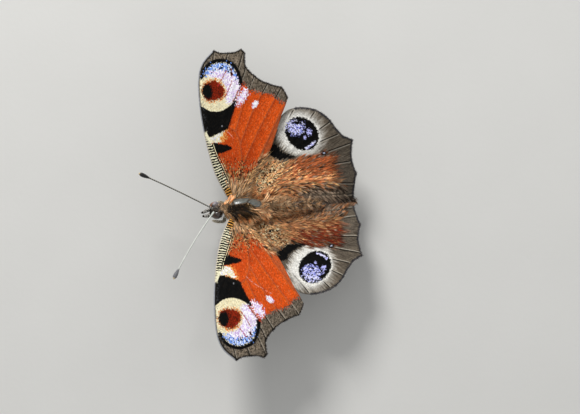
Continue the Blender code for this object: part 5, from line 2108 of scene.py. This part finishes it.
@dataclass(frozen=True)
class RingedScales(Finish):
    """Feelers: dark scales with a pale ring at the foot of each segment, and pale below."""

    specular: ClassVar[float] = 0.35

    def paint(self, g: Graph) -> Paint:
        """The colour, roughness and relief of the scales."""
        along = g.attribute("run")
        phase = g.maths("FRACT", g.maths("DIVIDE", along, FEELER_SEGMENT))
        ring = g.times(g.ramp(phase, 0.0, 0.1), g.ramp(phase, 0.5, 0.35))
        pale = g.attribute("pale")
        club = g.attribute("club")
        shaft = g.lay(HORN, (0.42, 0.40, 0.34), ring, 0.75)
        shaft = g.blend(pale, shaft, (0.66, 0.68, 0.62))
        tip = g.attribute("tip")
        head = g.blend(tip, g.blend(pale, (0.012, 0.011, 0.010), (0.16, 0.16, 0.17)), (0.62, 0.50, 0.30))
        colour = g.blend(club, shaft, head)
        place = g.within()
        grain = g.use(fine_grain(), Place=place, Colour=colour, Fineness=8000.0)
        return grain.outputs["Shade"], 0.55, grain.outputs["Dimple"]


@dataclass(frozen=True)
class HornFinish(Finish):
    """Scaled horn in one shade, for the legs, the tongue and the palps' cores."""

    dark: Colour
    light: Colour
    roughness: float = 0.5
    specular: ClassVar[float] = 0.4

    def paint(self, g: Graph) -> Paint:
        """The colour, roughness and relief."""
        place = g.within()
        patches = g.ramp(g.noise(place, 2200.0, 3.0), 0.4, 0.62)
        colour = g.blend(patches, self.dark, self.light)
        grain = g.use(fine_grain(), Place=place, Colour=colour, Fineness=8500.0)
        return grain.outputs["Shade"], self.roughness, grain.outputs["Dimple"]


# Head parts and legs


@dataclass
class Eye:
    """A compound eye bulging from the side of the head."""

    side: Side
    finish: bpy.types.Material
    centre: tuple[float, float, float] = (0.94, -2.3, 7.45)
    radii: tuple[float, float, float] = (0.84, 1.08, 1.14)
    rows: int = 40
    sides: int = 64

    def build(self) -> bpy.types.Object:
        """Makes the eye.

        Returns:
            The piece, which stands for the CAD eye.
        """
        latitude = np.linspace(-0.5, 0.5, self.rows + 2)[1:-1] * math.pi
        longitude = np.arange(self.sides) * 2 * math.pi / self.sides
        lat, lon = np.meshgrid(latitude, longitude, indexing="ij")
        ball = np.stack([np.sin(lat), np.cos(lat) * np.cos(lon), np.cos(lat) * np.sin(lon)], axis=-1)
        rings = (ball * self.radii + self.centre) * [self.side.value, 1.0, 1.0]
        rings = HEAD.carry(rings) + ORIGIN
        points, triangles = lofted(rings)
        x = np.append(ball[..., 0].ravel(), [-1.0, 1.0])
        y = np.append(ball[..., 1].ravel(), [0.0, 0.0])
        z = np.append(ball[..., 2].ravel(), [0.0, 0.0])
        # Painted reflection: a warm band across the eye's upper front, strong on the right eye and faint on
        # the left.
        strength = 0.75 if self.side is Side.RIGHT else 0.12
        band = strength * bell(z, 0.74, 0.08) * ease(x, -0.5, 0.1) * ease(y, 0.25, -0.05)
        # Painted reflection: a grey-lilac sheen over the right eye's upper rear, nearly none on the left.
        glaze = (0.8 if self.side is Side.RIGHT else 0.05) * ease(y, -0.5, 0.1) * ease(z, -0.3, 0.3)
        name = f"eye_{self.side.word}"
        return single(name, "compound_eye", self.finish, points, triangles, band=band, glaze=glaze)


@dataclass
class Antenna:
    """A slender ringed feeler with a club at its end."""

    side: Side
    finish: bpy.types.Material
    length: float = 16.25
    root: tuple[float, float, float] = (0.45, -2.9, 8.3)
    buried: float = 0.5
    rise: float = 13.0
    spread: float = 42.0
    shaft: float = 0.142
    club: float = 0.42
    club_length: float = 2.5
    bow: ClassVar[dict[Side, float]] = {Side.LEFT: 5.0, Side.RIGHT: -2.0}

    def build(self) -> bpy.types.Object:
        """Makes the feeler.

        Returns:
            The piece, which stands for the CAD feeler.
        """
        along = np.arange(-self.buried, self.length + 0.01, 0.06)
        heading = np.radians(self.spread + self.bow[self.side] * (along / self.length - 0.5))
        rise = math.radians(self.rise)
        level = along * math.cos(rise)
        path = np.column_stack(
            [
                self.side.value * (self.root[0] + level * np.sin(heading)),
                self.root[1] - level * np.cos(heading),
                self.root[2] + along * math.sin(rise),
            ]
        )
        start = self.length - self.club_length
        narrowing = 1 - 0.75 * ease(along, self.length - 0.7, self.length)
        swell = ease(along, start - 0.2, start + 1.5) * narrowing
        tip = np.sqrt(np.clip((self.length + 0.02 - along) / 0.3, 0.02, 1.0))
        ringing = 1 + 0.10 * np.sin(2 * math.pi * along / FEELER_SEGMENT) * ease(along, 0.0, 1.0)
        scape = 1 + 0.5 * ease(along, 0.75, 0.3)
        radius = (self.shaft * scape * ringing + (self.club - self.shaft) * swell) * tip
        path = np.column_stack([HEAD.carry(path) + ORIGIN, radius])
        points, triangles, facing = swept(path, 14)
        run = facing[:, 0]
        club = ease(run, start + self.buried - 0.1, start + self.buried + 0.5)
        up = facing[:, 2]
        pale = ease(up, -0.4, 0.6) if self.side is Side.LEFT else 0.7 * ease(np.abs(up), 0.75, 0.25)
        tip = ease(run, self.length + self.buried - 0.35, self.length + self.buried - 0.12)
        values = {"run": run, "pale": pale, "club": club, "tip": tip}
        return single(f"antenna_{self.side.word}", "antenna_scales", self.finish, points, triangles, **values)


@dataclass
class Palp:
    """A furry palp that points forward beside the tongue."""

    side: Side
    finish: bpy.types.Material
    fur: bpy.types.Material
    count: int = 2600
    hair_width: float = 0.045
    seed: int = 41
    path: ClassVar[list[tuple[float, float, float, float]]] = [(0.62, -2.9, 6.85, 0.27),
        (0.63, -3.5, 6.78, 0.31), (0.54, -4.1, 6.92, 0.30), (0.44, -4.65, 7.12, 0.25),
        (0.38, -5.05, 7.32, 0.14)]

    def build(self) -> None:
        """Makes the palp's core and its fur."""
        line = smooth_line(np.array(self.path), 0.08)
        line[:, 0] *= self.side.value
        line = np.column_stack([HEAD.carry(line[:, :3]) + ORIGIN, line[:, 3]])
        points, triangles, _ = swept(line, 20)
        single(f"palp_{self.side.word}", "dark_fur", self.finish, points, triangles)
        random = np.random.default_rng(self.seed)
        roots, normals, ahead, share, angle = along_tube(line, self.count, random, 0.15)
        lie = ahead + 0.15 * normals + random.normal(0.0, 0.1, ahead.shape)
        dashes = np.sin(share * 2 * math.pi * 5.0 + 2.0 * np.sin(angle * 2 * math.pi)) > -0.1
        pale = ease(normals[:, 2], 0.0, 0.6) * (0.25 + 0.75 * dashes) * ease(share, 0.95, 0.8)
        weights = np.column_stack([1.2 * (1 - pale), 0.15 + 0 * pale, 1.8 * pale])
        colour = shades(random, [(0.02, 0.015, 0.01), GREY_BROWN, (0.66, 0.63, 0.58)], weights)
        count = len(roots)
        length = random.uniform(0.26, 0.46, count) * (1 - 0.4 * share)
        tufts = Tufts(
            roots, normals, lie, length, np.full(count, self.hair_width), colour,
            inset(np.column_stack([angle, share])), self.seed + 1, rise=0.35, rest=0.10, clump=3, sunk=0.03,
        )
        tufts.piece(f"palp_fur_{self.side.word}", "dark_fur", self.fur)


def along_tube(
    path: Array, count: int, random: np.random.Generator, start: float = 0.0
) -> tuple[Array, Array, Array, Array, Array]:
    """Places strewn over a tube.

    Args:
        path: rows of (x, y, z, radius).
        count: how many places.
        random: the source of chance.
        start: the share of the path that is left bare at its root.

    Returns:
        The places, the normals, the directions along, the shares of the path and of a turn.
    """
    share = start + (1 - start) * random.random(count) ** 0.9
    rows = share * (len(path) - 1)
    columns = [np.interp(rows, np.arange(len(path)), path[:, i]) for i in range(4)]
    centre, radius = np.column_stack(columns[:3]), columns[3]
    slope = unit(np.gradient(path[:, :3], axis=0))
    ahead = unit(np.column_stack([np.interp(rows, np.arange(len(path)), slope[:, i]) for i in range(3)]))
    turn = random.random(count)
    across = unit(np.cross(ahead, (0.13, 0.21, 0.97)))
    upward = np.cross(across, ahead)
    angle = 2 * math.pi * turn[:, None]
    normal = np.cos(angle) * across + np.sin(angle) * upward
    return centre + normal * radius[:, None], normal, ahead, share, turn


@dataclass
class Tongue:
    """The coiled tongue between the palps."""

    finish: bpy.types.Material
    centre: Place = (-3.2, 5.35)
    outer: float = 0.98
    pitch: float = 0.40
    tube: float = 0.15
    turns: float = 2.1

    def build(self) -> bpy.types.Object:
        """Makes the tongue.

        Returns:
            The piece, which stands for the CAD tongue.
        """
        turn = np.linspace(0, self.turns, 160)
        angle = math.pi * (0.42 - 2 * turn)
        radius = self.outer - self.pitch * turn
        path = np.column_stack(
            [
                0.0 * turn,
                self.centre[0] + radius * np.cos(angle),
                self.centre[1] + radius * np.sin(angle),
                self.tube * (1 - 0.45 * turn / self.turns) * (1 + 0.05 * np.sin(turn * 190)),
            ]
        )
        lead = np.array([[0.0, path[0, 1] + 0.45, path[0, 2] + 0.9, self.tube]])
        joined = smooth_line(np.vstack([lead, path[::4]]), 0.05)
        joined[:, :3] = HEAD.carry(joined[:, :3]) + ORIGIN
        points, triangles, _ = swept(joined, 14)
        return single("proboscis", "antenna_scales", self.finish, points, triangles)


LEG_PATHS: dict[str, list[tuple[float, float, float, float]]] = {
    "foreleg": [(0.8, 0.1, 6.2, 0.30), (1.1, -0.5, 5.4, 0.32), (1.65, -0.8, 5.0, 0.30),
        (1.95, -1.2, 5.3, 0.26), (1.9, -2.0, 5.1, 0.28), (1.65, -2.7, 4.6, 0.24), (1.45, -3.1, 4.15, 0.10)],
    "midleg": [(0.8, 2.0, 6.0, 0.44), (1.5, 1.9, 4.6, 0.36), (2.3, 1.7, 4.7, 0.26), (3.8, 1.3, 5.7, 0.30),
        (5.1, 0.9, 6.3, 0.22), (5.55, 0.72, 5.95, 0.17), (6.8, 0.4, 3.4, 0.19), (7.7, 0.1, 1.3, 0.17),
        (8.1, -0.06, 0.42, 0.14), (8.6, -0.25, 0.15, 0.13), (10.2, -0.85, 0.125, 0.12),
        (11.6, -1.33, 0.115, 0.11), (11.95, -1.42, 0.12, 0.07)],
    "hindleg": [(0.8, 4.3, 6.0, 0.44), (1.3, 4.6, 4.6, 0.36), (2.0, 5.1, 4.5, 0.26), (3.2, 6.1, 5.3, 0.30),
        (4.3, 7.1, 5.8, 0.22), (4.65, 7.55, 5.45, 0.17), (5.5, 9.7, 3.1, 0.19), (6.2, 11.4, 1.3, 0.17),
        (6.45, 11.95, 0.42, 0.14), (6.6, 12.5, 0.15, 0.13), (7.2, 14.1, 0.125, 0.12),
        (7.85, 15.6, 0.115, 0.11), (8.0, 15.95, 0.12, 0.07)],
}


@dataclass
class Leg:
    """A leg with its joints, spines, claws and short scale-hair."""

    name: str
    side: Side
    horn: bpy.types.Material
    hair: bpy.types.Material
    foot_segments: int = 5
    hair_width: float = 0.045
    seed: int = 51

    @property
    def brush(self) -> bool:
        """Whether this is a short brush foot, which carries nothing and has no spines."""
        return self.name == "foreleg"

    def line(self) -> Array:
        """The leg's path in the frame, with joints pinched between the foot's segments."""
        line = smooth_line(np.array(LEG_PATHS[self.name]), 0.07)
        if not self.brush:
            foot = np.flatnonzero(line[:, 2] < 0.5)[0]
            share = np.clip((np.arange(len(line)) - foot) / (len(line) - foot), 0, 1)
            waist = 0.30 * np.exp(-((((share * self.foot_segments) % 1.0) - 0.5) / 0.5) ** 8)
            line[:, 3] *= np.where(share > 0, 0.80 + waist, 1.0)
            line[:, 2] = np.maximum(line[:, 2], line[:, 3] * 0.98)
        line[:, 0] *= self.side.value
        line[:, :3] += ORIGIN
        return line

    def spike(self, shell: Shell, base: Array, tip: Array, radius: float) -> None:
        """Adds a tapering spine.

        Args:
            shell: the leg's shell.
            base: its foot.
            tip: its point.
            radius: its radius at the foot.
        """
        t = np.linspace(0, 1, 5)[:, None]
        path = np.hstack([base + (tip - base) * t, radius * (1 - 0.9 * t)])
        shell.add(*swept(path, 6)[:2])

    def spines(self, shell: Shell, line: Array) -> None:
        """Adds the spurs, the claws and the rows of spines below the knee.

        Args:
            shell: the leg's shell.
            line: the leg's path.
        """
        ahead = unit(np.gradient(line[:, :3], axis=0))
        knee = np.argmax(line[:, 2] * (np.arange(len(line)) > len(line) * 0.25))
        foot = np.flatnonzero(line[:, 2] < 0.4)[0]
        side = unit(np.cross(ahead[foot], (0.0, 0.0, 1.0)))
        spur, claw = line[foot - 5, :3], line[-1, :3]
        for sway in (-0.25, 0.25):
            self.spike(shell, spur, spur + 0.55 * ahead[foot - 5] + sway * side + [0, 0, 0.25], 0.05)
            hook = claw + 0.26 * ahead[-1] + 0.7 * sway * side - [0.0, 0.0, 0.05]
            self.spike(shell, claw - 0.1 * ahead[-1], hook, 0.045)
        for i in range(knee + 8, len(line) - 3, 4):
            side = unit(np.cross(ahead[i], (0.2, 0.1, 1.0)))
            for sway in (-1.0, 1.0):
                base = line[i, :3] + sway * side * line[i, 3] * 0.6
                tip = base + 0.16 * ahead[i] + 0.13 * sway * side
                tip[2] = max(tip[2], 0.01)
                self.spike(shell, base, tip, 0.018)

    def build(self) -> None:
        """Makes the leg and its hair."""
        line = self.line()
        points, triangles, _ = swept(line, 16)
        points[:, 2] = np.maximum(points[:, 2], 0.0)
        shell = Shell()
        shell.add(points, triangles)
        if not self.brush:
            self.spines(shell, line)
        name = f"{self.name}_{self.side.word}"
        dress(shell.make(name, [self.horn], mapped=False), "leg_scales", name)
        random = np.random.default_rng(self.seed)
        roots, normals, along, share, turn = along_tube(line, 3400 if self.brush else 2400, random)
        lifted = roots[:, 2] > (0.0 if self.brush else 0.03)
        roots, normals, along, share, turn = (v[lifted] for v in (roots, normals, along, share, turn))
        count = len(roots)
        lie = along + 0.1 * normals + random.normal(0.0, 0.12, along.shape)
        length = (1.9 if self.brush else 1.0) * random.uniform(0.16, 0.34, count) * (1 - 0.45 * share)
        if not self.brush:
            length *= 1 + 1.6 * ease(share, 0.40, 0.15)
        weights = np.tile([2.0, 0.6, 0.1] if self.brush else [0.35, 0.9, 1.0], (count, 1))
        colour = shades(random, [(0.74, 0.67, 0.54), (0.38, 0.32, 0.23), (0.09, 0.07, 0.045)], weights)
        tufts = Tufts(
            roots, normals, lie, length, np.full(count, self.hair_width), colour,
            inset(np.column_stack([turn, share])), self.seed + 1, rise=0.25, rest=0.06, clump=3, sunk=0.02,
        )
        tufts.piece(f"{self.name}_hair_{self.side.word}", "leg_scales", self.hair)


# The studio


@dataclass(frozen=True)
class Viewpoint:
    """The photograph's camera, fitted to the wings: nearly overhead, a little to the animal's left."""

    target: tuple[float, float, float] = (0.57, 7.83, 9.0)
    distance: float = 500.0
    side_tilt: float = 9.77
    fore_tilt: float = 0.49
    roll: float = -3.95
    lens: float = 156.13

    def place(self) -> None:
        """Sets up the scene's camera."""
        tilt, fore, roll = (math.radians(v) for v in (self.side_tilt, self.fore_tilt, self.roll))
        back = Vector((math.sin(tilt), math.sin(fore), math.cos(tilt) * math.cos(fore))).normalized()
        level = Vector((0.0, 1.0, 0.0))
        level = (level - back * level.dot(back)).normalized()
        upward = back.cross(level)
        right = math.cos(roll) * level + math.sin(roll) * upward
        above = -math.sin(roll) * level + math.cos(roll) * upward
        data = bpy.data.cameras.new("camera")
        data.lens = self.lens
        data.sensor_width = 36.0
        data.clip_start = 0.01
        camera = bpy.data.objects.new("camera", data)
        bpy.context.scene.collection.objects.link(camera)
        spot = (Vector(self.target) + back * self.distance) * MM
        turn = Matrix((right, above, back)).transposed().to_4x4()
        camera.matrix_world = Matrix.Translation(spot) @ turn
        bpy.context.scene.camera = camera


@dataclass(frozen=True)
class PaperFinish(Finish):
    """The faint mottle of a paper sweep."""

    bump: ClassVar[float] = 0.02
    specular: ClassVar[float] = 0.2

    def paint(self, g: Graph) -> Paint:
        """The colour, roughness and relief of the paper."""
        place = g.within()
        cloud = g.noise(place, 60.0, 4.0)
        return g.blend(cloud, (0.66, 0.65, 0.62), (0.70, 0.69, 0.66)), 0.8, g.noise(place, 900.0)


@dataclass(frozen=True)
class Studio:
    """A pale floor, a pale sky and soft lamps."""

    floor_size: float = 1.6
    aim: tuple[float, float, float] = (0.0, 0.0, 0.01)
    sky: float = 0.42
    lamps: tuple[tuple[str, tuple[float, float, float], float, float], ...] = (
        ("key", (-0.42, -0.12, 0.33), 0.20, 2.4),
        ("fill", (0.45, 0.30, 0.35), 0.40, 0.35),
        ("rear", (-0.10, 0.55, 0.30), 0.30, 0.30),
    )

    def floor(self) -> None:
        """Lays the floor."""
        size = self.floor_size / 2 / MM
        points = np.array([(-size, -size, 0.0), (size, -size, 0.0), (size, size, 0.0), (-size, size, 0.0)])
        shell = Shell()
        shell.add(points, np.array([(0, 1, 2), (0, 2, 3)]))
        shell.make("studio_floor", [PaperFinish("paper_floor").material()], mapped=False)

    def light(self) -> None:
        """Sets the sky and hangs the lamps."""
        world = bpy.data.worlds.new("sky")
        world.use_nodes = True
        shade = world.node_tree.nodes["Background"]
        shade.inputs["Color"].default_value = (0.96, 0.98, 1.0, 1.0)
        shade.inputs["Strength"].default_value = self.sky
        bpy.context.scene.world = world
        for name, spot, size, power in self.lamps:
            data = bpy.data.lights.new(name, "AREA")
            data.shape = "DISK"
            data.size = size
            data.energy = power
            lamp = bpy.data.objects.new(name, data)
            lamp.location = spot
            aim = Vector(self.aim) - Vector(spot)
            lamp.rotation_euler = aim.to_track_quat("-Z", "Y").to_euler()
            bpy.context.scene.collection.objects.link(lamp)


def main() -> None:
    """Dresses the butterfly, piece by piece, and sets up the studio."""
    logging.basicConfig(level=logging.INFO, format="%(message)s")
    bpy.context.scene.view_settings.view_transform = "Standard"
    Viewpoint().place()
    studio = Studio()
    studio.floor()
    studio.light()
    hair = HairFinish("scale_hair").material()
    fur = HairFinish("body_fur_hair", spread=1.5).material()
    uppers = {
        Forewing: ForewingScales("forewing_upper", tuple(FOREWING_MARKS)).material(),
        Hindwing: HindwingScales("hindwing_upper", tuple(HINDWING_MARKS)).material(),
    }
    unders = {kind: UnderScales(f"{kind.kind}_under").material() for kind in (Forewing, Hindwing)}
    wing_hair = WingHair(HairFinish("wing_hair", spread=1.3).material())
    for side in Side:
        fore = Forewing(side, uppers[Forewing], unders[Forewing], hair)
        hind = Hindwing(side, uppers[Hindwing], unders[Hindwing], hair)
        fore.build()
        hind.build()
        wing_hair.over_forewing(fore)
        wing_hair.over_hindwing(hind)
    body = Body(SkinFinish("body_skin").material(), fur)
    body.build_skin()
    for coat in COATS:
        body.grow(coat)
    eye = EyeFinish("compound_eye").material()
    feeler = RingedScales("feeler_scales").material()
    core = HornFinish("palp_core", INK, FOX_DARK).material()
    leg = HornFinish("leg_horn", (0.06, 0.045, 0.03), (0.15, 0.115, 0.075)).material()
    for side in Side:
        Eye(side, eye).build()
        Antenna(side, feeler).build()
        Palp(side, core, fur).build()
        for name in LEG_PATHS:
            Leg(name, side, leg, hair).build()
    Tongue(HornFinish("tongue_horn", (0.10, 0.055, 0.025), (0.22, 0.13, 0.06), 0.35).material()).build()


if __name__ == "__main__":
    main()
